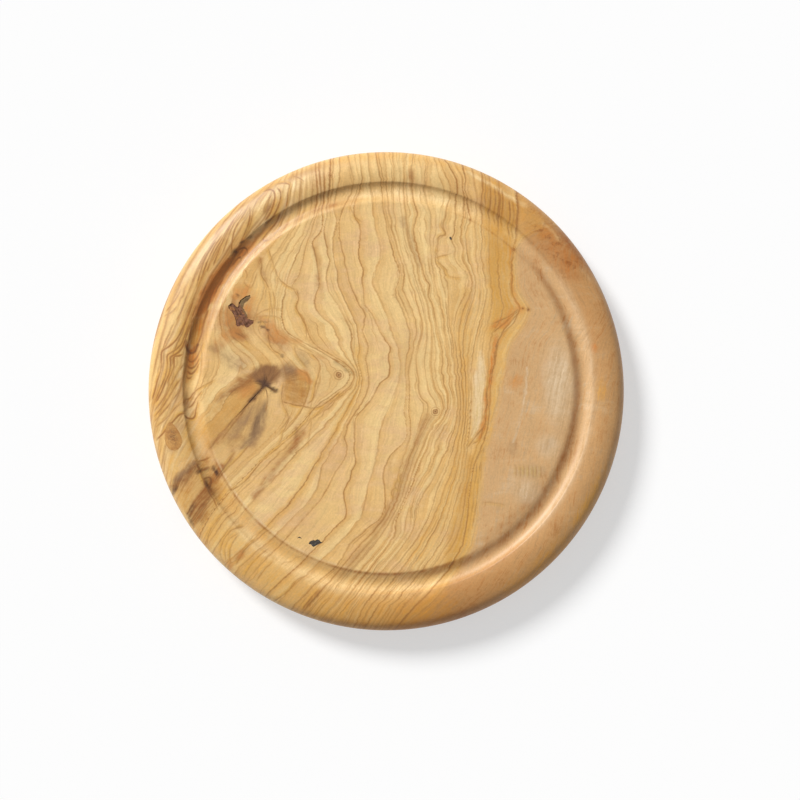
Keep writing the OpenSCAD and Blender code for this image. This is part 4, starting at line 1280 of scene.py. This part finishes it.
def add_check(bm, points, width, top, depth):
    """Adds the solid of a drying check: a wedge along a line in plan that thins out at both ends."""
    n = len(points)
    rows = []
    for i, (x, y) in enumerate(points):
        a, b = points[max(i - 1, 0)], points[min(i + 1, n - 1)]
        along = Vector((b[0] - a[0], b[1] - a[1])).normalized()
        share = max(0.12, math.sin(math.pi * (i + 0.35) / (n - 0.3)))
        side = Vector((-along.y, along.x)) * width / 2 * share
        corners = ((x - side.x, y - side.y, top + 1), (x + side.x, y + side.y, top + 1),
                   (x, y, top - depth * share))
        rows.append([bm.verts.new(Vector(p) * MM) for p in corners])
    bm.faces.new(rows[0])
    bm.faces.new(rows[-1][::-1])
    for a, b in zip(rows, rows[1:]):
        for i in range(3):
            j = (i + 1) % 3
            bm.faces.new((a[j], a[i], b[i], b[j]))


def solid_of(bm, name):
    """A bmesh as an object outside every collection's view, with its faces turned outwards."""
    bmesh.ops.triangulate(bm, faces=bm.faces[:])
    bmesh.ops.recalc_face_normals(bm, faces=bm.faces[:])
    mesh = bpy.data.meshes.new(name)
    bm.to_mesh(mesh)
    bm.free()
    return bpy.data.objects.new(name, mesh)


def carved(mesh, tool, operation, name):
    """A new mesh: mesh with the tool taken away from it, or what the two share."""
    piece = bpy.data.objects.new(name, mesh)
    for thing in (piece, tool):
        bpy.context.scene.collection.objects.link(thing)
    cut = piece.modifiers.new("carve", "BOOLEAN")
    cut.operation, cut.solver, cut.object = operation, "MANIFOLD", tool
    bpy.context.view_layer.update()
    graph = bpy.context.evaluated_depsgraph_get()
    made = bpy.data.meshes.new_from_object(piece.evaluated_get(graph))
    made.name = name
    for thing in (piece, tool):
        used = thing.data
        bpy.data.objects.remove(thing)
        if used is not mesh:
            bpy.data.meshes.remove(used)
    if not made.polygons:
        raise RuntimeError(f"nothing is left of {name} after carving")
    return made


def bumpy_block(outline, low, high, step, relief, grain):
    """A closed block over an outline's box, its top broken up by as much as relief below its height."""
    xs, ys = [p[0] for p in outline], [p[1] for p in outline]
    x0, x1, y0, y1 = min(xs) - 1, max(xs) + 1, min(ys) - 1, max(ys) + 1
    nx, ny = max(2, round((x1 - x0) / step)), max(2, round((y1 - y0) / step))
    bm = bmesh.new()

    def top_point(i, j):
        x, y = x0 + (x1 - x0) * i / nx, y0 + (y1 - y0) * j / ny
        rough = noise.fractal(Vector((x, y, 0)) / grain, 0.7, 2.1, 4) * 0.5 + 0.5
        return bm.verts.new(Vector((x, y, high - relief * min(1, max(0, rough)))) * MM)

    top = [[top_point(i, j) for i in range(nx + 1)] for j in range(ny + 1)]
    for j in range(ny):
        for i in range(nx):
            bm.faces.new((top[j][i], top[j][i + 1], top[j + 1][i + 1], top[j + 1][i]))
    edge = (top[0] + [row[-1] for row in top[1:]] + top[-1][-2::-1] + [row[0] for row in top[-2:0:-1]])
    foot = [bm.verts.new((v.co.x, v.co.y, low * MM)) for v in edge]
    for i in range(len(edge)):
        j = (i + 1) % len(edge)
        bm.faces.new((edge[j], edge[i], foot[i], foot[j]))
    bm.faces.new(foot[::-1])
    bmesh.ops.recalc_face_normals(bm, faces=bm.faces[:])
    mesh = bpy.data.meshes.new("block")
    bm.to_mesh(mesh)
    bm.free()
    return mesh


# Angle between faces from which an edge looks sharp, in degrees, on smooth wood and on a rough piece
SMOOTH_SHARP, ROUGH_SHARP = 40, 60


def show(name, mesh, material, sharp=SMOOTH_SHARP):
    """Puts a finished mesh into the scene as a piece that stands for the CAD node of its name."""
    mesh.name = name
    mesh.materials.clear()
    mesh.materials.append(material)
    mesh.polygons.foreach_set("use_smooth", [True] * len(mesh.polygons))
    mesh.set_sharp_from_angle(angle=math.radians(sharp))
    piece = bpy.data.objects.new(name + "_look", mesh)
    bpy.context.scene.collection.objects.link(piece)
    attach(piece, "root")
    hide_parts(name)
    return piece


# A height that is clear above the rim's crest, and the lean of the rim knot's length, which follows the rim
CLEAR_HEIGHT, KNOT_TURN = 27.0, 13


class Inclusion:
    """Where one inclusion sits: its ragged outline in plan and the height of its foot, in millimetres."""

    def __init__(self, outline, reach, angle, foot, steps, jitter, turn=0.0):
        self.centre = (reach * math.cos(math.radians(angle)), reach * math.sin(math.radians(angle)))
        self.outline = ragged(outline, self.centre, steps, jitter, math.radians(turn))
        self.foot = foot

    def solid(self, name, shrink):
        """Its space as an object, shrunk by a share of its size."""
        cx, cy = self.centre
        bm = bmesh.new()
        outline = [(cx + (x - cx) * (1 - shrink), cy + (y - cy) * (1 - shrink)) for x, y in self.outline]
        add_prism(bm, outline, self.foot, CLEAR_HEIGHT)
        return solid_of(bm, name)


def oval_outline(wide, long, narrow):
    """Points round an oval that narrows towards its far end."""
    angles = [math.radians(a) for a in range(0, 360, 15)]
    return [(wide / 2 * math.cos(a) * (1 - narrow * math.sin(a)), long / 2 * math.sin(a)) for a in angles]


def inclusions(shape):
    """The five inclusions by their node's name, at the places that the solids have."""
    outer, rim_h = shape.diameter / 2 / MM, shape.rim_height / MM
    floor_h = rim_h - shape.floor_drop / MM
    floor_r = groove_edge(shape)
    return {
        "bark_inclusion": Inclusion(BARK_OUTLINE, floor_r - 12.5, 152.5, floor_h - 6, 4, 0.45),
        "rim_knot": Inclusion(
            oval_outline(10, 18, 0.35), outer - 13.5, 180 + KNOT_TURN, rim_h - 12, 2, 0.25, KNOT_TURN),
        "large_void_fill": Inclusion(LARGE_VOID_OUTLINE, floor_r - 9.8, 245.8, floor_h - 5, 3, 0.22),
        "small_void_fill": Inclusion(SMALL_VOID_OUTLINE, floor_r - 8.2, 240.2, floor_h - 2.5, 2, 0.06),
        "pin_void_fill": Inclusion(
            oval_outline(2.2, 1.3, 0), floor_r - 13.5, 66.7, floor_h - 2.5, 1, 0, 120),
    }


STAR_HEART = (-76.5, 3.0)
# How far its rays, the sharper edges of its stains and the dark of its growth lines reach
STAR_RAYS, STAR_SHARP, STAR_DARK = 38.0, 20.0, 10.0

# Drying checks that run out from the heart of the star knot: width, depth and points
STAR_CHECKS = (
    (0.7, 0.9, ((-77, 2.5), (-80, -1), (-84, -5.5), (-90, -12), (-95, -17.6))),
    (0.6, 0.7, ((-76.6, 2.6), (-74.5, 1.4), (-72.5, 0.4), (-70.5, -0.6))),
    (0.5, 0.6, ((-77, 3.4), (-76, 6), (-75.5, 8.5))),
    (0.5, 0.6, ((-77.6, 2.6), (-80.5, 3.2), (-83.5, 4))),
    (0.5, 0.6, ((-76.8, 2), (-77, -1), (-77.6, -4))),
)

# Stains and painted light in the order in which they lie over the wood
COLOUR_ORDER = ("gold", "cream_and_highlight", "brown", "amber", "orange", "grey", "bleached_and_highlight", "dark")


def olive_wood(c):
    """Oiled olive wood: growth lines, fibre, stains and painted light from the numbers at the vertices."""
    f = Finish("olive_wood")
    spot = f.place()
    x, y, z = f.parts(spot)
    count, spacing, ink = f.attribute("growth"), f.attribute("spacing"), f.attribute("ink")
    even, bold, calm = f.attribute("plain"), f.attribute("bold"), f.attribute("calm")

    # Growth lines: a soft core that comes and goes along its length, and tan fading from one side of it
    sway = (f.noise(spot, 14, 2) - 0.5) * 1.5 + (f.noise(spot, 4.2, 3, 0.65) - 0.5) * (1.0 - bold * 0.7)
    kink = f.swing(f.vector(x / 34.0, y / 4.6, z / 9.0), 1.0, 3, 0.6)
    kink = kink * f.noise(spot, 20, 1).step(0.36, 0.6)
    lines = count + (sway + kink * (0.95 - bold * 0.8)) / spacing
    number = (lines + 0.5).floor()
    offset = (lines - number) * spacing
    uneven = f.noise(f.vector(number * 7.3, y / 26.0, x / 60.0), 1.0, 3).step(0.3, 0.66) * 0.6 + 0.4
    width = (0.29 + f.noise(f.vector(number * 3.1, y / 24.0), 1.0, 1) * 0.4) * (1 + bold * 0.8)
    main = offset.bell(width) * ink * uneven * (1.08 + bold * 0.6)
    strip = lines.floor()
    glow = ((lines - strip) * spacing).fade(spacing * 0.25 + 0.8) * ink * uneven

    # Fainter lines between them, that wander more
    drift = (f.noise(spot, 17, 2) - 0.5) * 2.4 + (f.noise(spot, 6, 2) - 0.5) * 0.5
    finer = lines * 3.0 + drift
    finer_number = (finer + 0.5).floor()
    finer_offset = (finer - finer_number) * spacing / 3.0
    finer_ink = f.chance(finer_number).step(0.2, 0.9) * spacing.step(1.2, 4.0) * 0.75
    finer_ink = finer_ink * f.noise(f.vector(finer_number * 5.1, y / 18.0), 1.0, 2).step(0.34, 0.64)
    finer_ink = finer_ink * (1 - even) * (1 - f.attribute("bleached_and_highlight")) * (1 - calm)
    fine = finer_offset.bell(0.38 + bold * 0.3) * finer_ink
    glow = glow.most(((finer - finer.floor()) * spacing).fade(4.2) * finer_ink)

    # Strokes that leave the run of the lines
    pen = band = None
    waver = (f.noise(spot, 3.2, 3, 0.6) - 0.5) * (1.3 - bold * 0.8)
    for number in range(STROKE_SETS):
        gone, dark = f.attribute(f"stroke_{number}") + waver, f.attribute(f"stroke_ink_{number}")
        drawn, side = gone.bell(0.5 + bold * 0.15) * dark, (gone - 1.0).bell(1.2) * dark
        pen, band = (drawn, side) if pen is None else (pen.most(drawn), band.most(side))
    pen = pen * (f.noise(spot, 7, 2).step(0.3, 0.6) * 0.6 + 0.5 + bold * 0.4)
    band = band * (f.noise(spot, 9, 2).step(0.35, 0.62) * 0.8 + 0.2)

    # Bands of lighter and deeper wood along the growth, fibre, and figure across it
    bands = f.swing(f.vector(lines * 0.8, y / 60.0, x / 90.0), 1.0, 4, 0.65)
    strand = lines * 2.0 ** ((spacing / 1.1).doublings() + 0.5).floor()
    fibre = f.swing(f.vector(strand * 0.7, y / 24.0, x / 40.0), 1.0, 4, 0.7)
    thread = f.swing(f.vector(strand * 3.0, y / 7.0, z / 7.0), 1.0, 2, 0.6)
    tone, fine_tone = f.chance(strip), f.chance(finer.floor() + 0.5)
    curl = f.swing(f.vector(x / 14.0, y / 4.0, z / 5.0), 1.0, 3, 0.6)
    cloud = f.swing(spot, 24, 4, 0.6)
    mottle = f.swing(spot, 6, 4, 0.65)
    grit = f.swing(spot, 1.2, 2, 0.6)
    figure = fibre * 0.6 + mottle * 0.5
    wood = f.coats(
        c.ground,
        (c.pale, f.attribute("pale") * (0.75 + bands * 0.5)),
        (c.tan, tone.step(0.5, 1.0) * 0.35),
        (c.pale, fine_tone.step(0.45, 1.0) * 0.7),
        (c.tan, (1 - fine_tone).step(0.6, 1.0) * 0.35),
        (c.tan, (bands * 0.5 + figure * 0.3).step(0.0, 0.9) * 0.5),
        (c.pink, (cloud * 0.7 + curl * 0.4 + calm * 0.3).step(-0.1, 0.7) * 0.7),
        (c.pale, (mottle * 0.6 + curl * 0.6).step(0.1, 1.0) * 0.5),
        (c.tan, (curl * 0.8 - cloud * 0.5).step(0.3, 1.1) * 0.4),
        (c.gold, fine_tone.step(0.5, 0.66) * bold * 0.3),
        (c.cream_and_highlight, (1 - fine_tone).step(0.5, 0.66) * bold * 0.4))
    quiet = f.coats(
        c.plain,
        (c.plain_deep, (fibre * 1.2 + thread * 0.5 + mottle * 0.6 + cloud * 0.5).step(-0.1, 1.2) * 0.95),
        (c.plain_pale, (curl * 0.6 - cloud * 0.7 - fibre * 0.5).step(0.1, 1.0) * 0.9))
    wood = f.mix(wood, quiet, even)

    # Stains and painted light follow the fibre, and near the star knot the rays that run out from its heart
    heart_x, heart_y = on_board(*STAR_HEART)
    out_x, out_y = x - heart_x, y - heart_y
    away = (out_x * out_x + out_y * out_y) ** 0.5
    turn = f.node("ShaderNodeMath", {"operation": "ARCTAN2"}, {0: out_y, 1: out_x})
    rays = f.swing(f.vector(turn * 7.0, away / 25.0, mottle * 0.4), 1.0, 5, 0.7)
    near_star = away.bell(STAR_RAYS, 4.0)
    streaks = rays * near_star + fibre * (1 - near_star)
    broken = streaks * 0.9 + mottle * 0.6 + cloud * 0.3
    fray = 1.2 - away.bell(STAR_SHARP, 4.0) * 0.8
    for name in COLOUR_ORDER:
        colouring = f.attribute(name)
        if name == "gold":
            colouring = colouring * (0.82 + bands * 0.4 + fibre * 0.25)
        frayed = colouring + broken * fray * colouring * (1.15 - colouring) + broken * colouring.step(0.0, 0.3) * 0.08
        wood = f.mix(wood, getattr(c, name), frayed.clamp())

    # Pin knots: a few rings round a dark heart
    knots = None
    for kx, ky, size, deep in PIN_KNOTS:
        ends = {0: f.vector(x, y), 1: (*on_board(kx, ky), 0)}
        gone = f.node("ShaderNodeVectorMath", {"operation": "DISTANCE"}, ends, out=1)
        gone = gone + (f.noise(spot, 1.8) - 0.5) * size * 0.35
        rings = (gone * (6.3 / (size * 0.42))).cosine() * 0.5 + 0.5
        heart = gone.bell(size * 0.25) * 0.6
        knot = (gone.bell(size) * (0.25 + rings * 0.6) + heart) * deep
        knots = knot if knots is None else knots.most(knot)
    wood = f.coats(wood, (c.brown, knots.step(0.0, 0.6) * 0.75), (c.dark, knots.step(0.4, 1.0) * 0.6))

    # Late wood darkens what it crosses, most of all round the star knot, in the heartwood and in the brown
    # rings of painted shade
    strength = main.most(fine).most(pen).clamp()
    star = away.bell(STAR_DARK)
    heartwood_and_shade = f.attribute("amber").most(f.attribute("brown")).step(0.2, 0.8)
    late_wood = f.coats(c.line, (c.brown, bold * 0.95), (c.dark, (star * 0.8).most(heartwood_and_shade * 0.6)))
    wood = f.coats(
        wood,
        (c.tan, glow * (0.6 + bold * 0.3)),
        (c.gold, band * (1 - star) * 0.9),
        (late_wood, strength * (0.82 + star * 0.1)), blend="DARKEN")

    # The back right of the rim is blotched with brown and scuffed along its turning
    mottled = f.attribute("mottled")
    scuffs = f.swing(f.vector((x * x + y * y) ** 0.5 / 1.1, (y - x) / 9.0), 1.0, 3, 0.6).step(0.25, 0.8)
    wood = f.coats(
        wood,
        (c.brown, f.swing(spot, 4.2, 4, 0.65).step(0.0, 0.55) * mottled * 0.66),
        (c.bleached_and_highlight, scuffs * f.noise(spot, 9, 2).step(0.42, 0.6) * mottled * 0.65))

    # Fine light and dark of the fibre, and the rim tint, which is partly painted shade, deepest away from
    # the light
    shade = 1 + fibre * (0.16 + even * 0.08) + thread * 0.06 + mottle * 0.1 + grit * 0.09
    shade = f.node("ShaderNodeCombineColor", {}, {0: shade, 1: shade, 2: shade})
    wood = f.coats(wood, (shade, 1.0), (c.rim, f.attribute("rim")), blend="MULTIPLY")
    rough = (0.44 + fibre * 0.05 - strength * 0.05 + mottle * 0.04).clamp()
    height = thread * 0.2 + fibre * 0.12 - strength * 0.35
    return f.finish(base_color=wood, roughness=rough, specular_ior_level=0.36,
                    normal=f.bump(height, 0.12, 0.15 * MM))


def bark_finish(c, centre):
    """Enclosed bark: dark layers with resin between them, and one olive prong."""
    f = Finish("bark")
    spot = f.place()
    x, y, z = f.parts(spot)
    grain = f.noise(spot, 1.1, 4, 0.65)
    layers = f.noise(f.vector(x * 0.8 + y * 0.5, y * 0.2 - x * 0.3, z), 1.3, 4, 0.7)
    tone = f.noise(spot, 3.4, 3, 0.6)
    dx, dy = x - centre[0], y - centre[1]
    prong = (dx + dy * 0.55).step(1.4, 3.4) * dy.step(-6.0, -2.0)
    bark = f.coats(
        c.bark,
        (c.dark, layers.step(0.4, 0.66) * 0.85),
        (c.orange, tone.step(0.52, 0.68) * 0.4),
        (c.lichen, prong * (0.45 + tone * 0.6)))
    return f.finish(base_color=bark, roughness=0.8 + grain * 0.1, specular_ior_level=0.25,
                    normal=f.bump(grain + layers, 0.4, 0.3 * MM))


def filler_finish(c):
    """Dark filler: a hard resin with dust in it."""
    f = Finish("void_filler")
    grain = f.noise(f.place(), 0.7, 3, 0.6)
    dust = f.mix(c.filler, c.dark, grain.step(0.5, 0.8) * 0.6)
    return f.finish(base_color=dust, roughness=0.42 + grain * 0.15, normal=f.bump(grain, 0.3, 0.2 * MM))


def knot_finish(c, centre):
    """Knot wood: narrow rings round a dark heart."""
    f = Finish("knot_wood")
    spot = f.place()
    x, y, _ = f.parts(spot)
    dx, dy = x - centre[0], y - centre[1]
    cos, sin = math.cos(math.radians(KNOT_TURN)), math.sin(math.radians(KNOT_TURN))
    across, along = dx * cos + dy * sin, dy * cos - dx * sin
    away = ((across / 5.0) ** 2.0 + (along / 9.0) ** 2.0) ** 0.5 + (f.noise(spot, 3, 3) - 0.5) * 0.5
    rings = (away * 26.0).sine() * 0.5 + 0.5
    grain = f.noise(spot, 0.9, 4, 0.6)
    blotch = f.noise(spot, 2.6, 4, 0.65)
    speck = f.noise(spot, 0.8, 3, 0.7)
    wood = f.coats(
        c.tan,
        (c.brown, blotch.step(0.3, 0.7) * 0.5 + 0.2),
        (c.dark, (1 - away.step(0.15, 0.85)) * grain.step(0.4, 0.6) * 0.55),
        (c.pale, speck.step(0.6, 0.72) * 0.4),
        (c.dark, rings.step(0.55, 0.95) * 0.06))
    return f.finish(base_color=wood, roughness=0.46 + grain * 0.1, specular_ior_level=0.4,
                    normal=f.bump(grain, 0.15, 0.15 * MM))


def floor_height(shape):
    """Height of the serving floor, in millimetres."""
    return (shape.rim_height - shape.floor_drop) / MM


class BOARD_OT_turn_board(bpy.types.Operator):
    bl_idname = "serving_board.turn_board"
    bl_label = "Board"

    def execute(self, context):
        shape = context.scene.board_shape
        form, top_height = turned_mesh(shape)
        tools = bmesh.new()
        for part in inclusions(shape).values():
            add_prism(tools, part.outline, part.foot, CLEAR_HEIGHT)
        board = carved(form, solid_of(tools, "pockets"), "DIFFERENCE", "board_pockets")
        for width, depth, points in STAR_CHECKS:
            wedge = bmesh.new()
            add_check(wedge, [on_board(*p) for p in points], width, floor_height(shape), depth)
            board = carved(board, solid_of(wedge, "check"), "DIFFERENCE", "board_checks")
        paint_growth(board, top_height, shape.off_centre)
        show("board", board, olive_wood(context.scene.wood_colours))
        return {"FINISHED"}


class BOARD_OT_set_bark(bpy.types.Operator):
    """Set the enclosed bark into its pocket in the floor"""

    bl_idname = "serving_board.set_bark"
    bl_label = "Bark inclusion"

    def execute(self, context):
        shape = context.scene.board_shape
        part = inclusions(shape)["bark_inclusion"]
        block = bumpy_block(
            part.outline, part.foot + 0.2, floor_height(shape) - 0.05, step=0.4, relief=0.7, grain=2.2)
        mesh = carved(block, part.solid("bark_space", 0.004), "INTERSECT", "bark")
        finish = bark_finish(context.scene.wood_colours, part.centre)
        show("bark_inclusion", mesh, finish, ROUGH_SHARP)
        return {"FINISHED"}


class BOARD_OT_set_rim_knot(bpy.types.Operator):
    """Set the knot into the rim, turned flush with it"""

    bl_idname = "serving_board.set_rim_knot"
    bl_label = "Rim knot"

    def execute(self, context):
        shape = context.scene.board_shape
        part = inclusions(shape)["rim_knot"]
        form, _ = turned_mesh(shape)
        mesh = carved(form, part.solid("knot_space", 0.004), "INTERSECT", "knot")
        finish = knot_finish(context.scene.wood_colours, part.centre)
        show("rim_knot", mesh, finish)
        return {"FINISHED"}


class BOARD_OT_fill_voids(bpy.types.Operator):
    """Fill the three small voids in the floor with dark filler"""

    bl_idname = "serving_board.fill_voids"
    bl_label = "Filled voids"

    def execute(self, context):
        shape = context.scene.board_shape
        finish = filler_finish(context.scene.wood_colours)
        for name, part in inclusions(shape).items():
            if name.endswith("void_fill"):
                block = bumpy_block(
                    part.outline, part.foot + 0.1, floor_height(shape) - 0.06,
                    step=0.25, relief=0.35, grain=1.4)
                mesh = carved(block, part.solid(name + "_space", 0.006), "INTERSECT", name)
                show(name, mesh, finish, ROUGH_SHARP)
        return {"FINISHED"}


# The white floor reaches this far each way, a hair below the board, and the camera looks at this point
FLOOR_HALF, FLOOR_GAP = 4.0, 0.0002
FLOOR_PAINT, WHITE = (0.985, 0.985, 0.985, 1), (1, 1, 1, 1)
CAMERA_AIM = Vector((8.7 * MM, -6.8 * MM, 0.011))
SENSOR_WIDTH, VIEW_END = 36.0, 100


class BOARD_OT_set_stage(bpy.types.Operator):
    """Lay the white floor and set the light and the camera"""

    bl_idname = "serving_board.set_stage"
    bl_label = "Stage"

    def execute(self, context):
        scene, look = context.scene, context.scene.stage_look
        scene.view_settings.view_transform = "Standard"
        self.lay_floor(scene, look)
        self.set_light(scene, look)
        self.set_camera(scene, look)
        return {"FINISHED"}

    def lay_floor(self, scene, look):
        mesh = bpy.data.meshes.new("studio_floor")
        corners = [(x * FLOOR_HALF, y * FLOOR_HALF, 0) for x, y in ((-1, -1), (1, -1), (1, 1), (-1, 1))]
        mesh.from_pydata(corners, [], [(0, 1, 2, 3)])
        floor = bpy.data.objects.new("studio_floor", mesh)
        floor.location.z = -FLOOR_GAP
        scene.collection.objects.link(floor)
        f = Finish("studio_floor")
        matt = f.node("ShaderNodeBsdfDiffuse", {}, {"Color": FLOOR_PAINT})
        glow = f.node("ShaderNodeEmission", {}, {"Color": WHITE, "Strength": 1.0})
        both = f.node("ShaderNodeMixShader", {}, {0: f.seen() * look.floor_glow, 1: matt, 2: glow})
        f.node("ShaderNodeOutputMaterial", {}, {"Surface": both})
        mesh.materials.append(f.material)

    def set_light(self, scene, look):
        lamp = bpy.data.lights.new("window_light", "SUN")
        lamp.energy, lamp.angle = look.sun_strength, look.sun_spread
        sun = bpy.data.objects.new("window_light", lamp)
        scene.collection.objects.link(sun)
        flat = math.cos(look.sun_height)
        towards = Vector((
            math.cos(look.sun_turn) * flat, math.sin(look.sun_turn) * flat, math.sin(look.sun_height)))
        sun.rotation_mode = "QUATERNION"
        sun.rotation_quaternion = towards.to_track_quat("Z", "Y")
        world = bpy.data.worlds.new("studio_fill")
        world.use_nodes = True
        sky = Graph(world.node_tree)
        level = look.sky_strength + sky.seen() * (1 - look.sky_strength)
        light = sky.node("ShaderNodeBackground", {}, {"Color": WHITE, "Strength": level})
        sky.node("ShaderNodeOutputWorld", {}, {"Surface": light})
        scene.world = world

    def set_camera(self, scene, look):
        lens = bpy.data.cameras.new("photo_camera")
        lens.lens, lens.sensor_width = look.lens, SENSOR_WIDTH
        camera = bpy.data.objects.new("photo_camera", lens)
        scene.collection.objects.link(camera)
        away = look.field * look.lens / lens.sensor_width
        back = Vector((0, -math.cos(look.height), math.sin(look.height)))
        camera.location = CAMERA_AIM + back * away
        camera.rotation_mode = "QUATERNION"
        camera.rotation_quaternion = back.to_track_quat("Z", "Y")
        lens.clip_end = VIEW_END
        scene.camera = camera


class BOARD_PT_sidebar(bpy.types.Panel):
    """The board's pieces and settings"""

    bl_idname = "BOARD_PT_sidebar"
    bl_label = "Serving board"
    bl_space_type = "VIEW_3D"
    bl_region_type = "UI"
    bl_category = "Serving board"

    def draw(self, context):
        for piece in PIECES:
            self.layout.operator(piece.bl_idname)
        scene = context.scene
        for group in (scene.board_shape, scene.wood_colours, scene.stage_look):
            box = self.layout.box()
            for name in group.__annotations__:
                box.prop(group, name)


PIECES = (BOARD_OT_turn_board, BOARD_OT_set_bark, BOARD_OT_set_rim_knot, BOARD_OT_fill_voids,
          BOARD_OT_set_stage)
CLASSES = (BoardShape, WoodColours, StageLook, *PIECES, BOARD_PT_sidebar)


def register():
    noise.seed_set(WANDER_SEED)
    for cls in CLASSES:
        bpy.utils.register_class(cls)
    bpy.types.Scene.board_shape = bpy.props.PointerProperty(type=BoardShape)
    bpy.types.Scene.wood_colours = bpy.props.PointerProperty(type=WoodColours)
    bpy.types.Scene.stage_look = bpy.props.PointerProperty(type=StageLook)


def unregister():
    del bpy.types.Scene.board_shape, bpy.types.Scene.wood_colours, bpy.types.Scene.stage_look
    for cls in reversed(CLASSES):
        bpy.utils.unregister_class(cls)


def main():
    register()
    bpy.ops.serving_board.turn_board()
    bpy.ops.serving_board.set_bark()
    bpy.ops.serving_board.set_rim_knot()
    bpy.ops.serving_board.fill_voids()
    bpy.ops.serving_board.set_stage()
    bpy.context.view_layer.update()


if __name__ == "__main__":
    main()
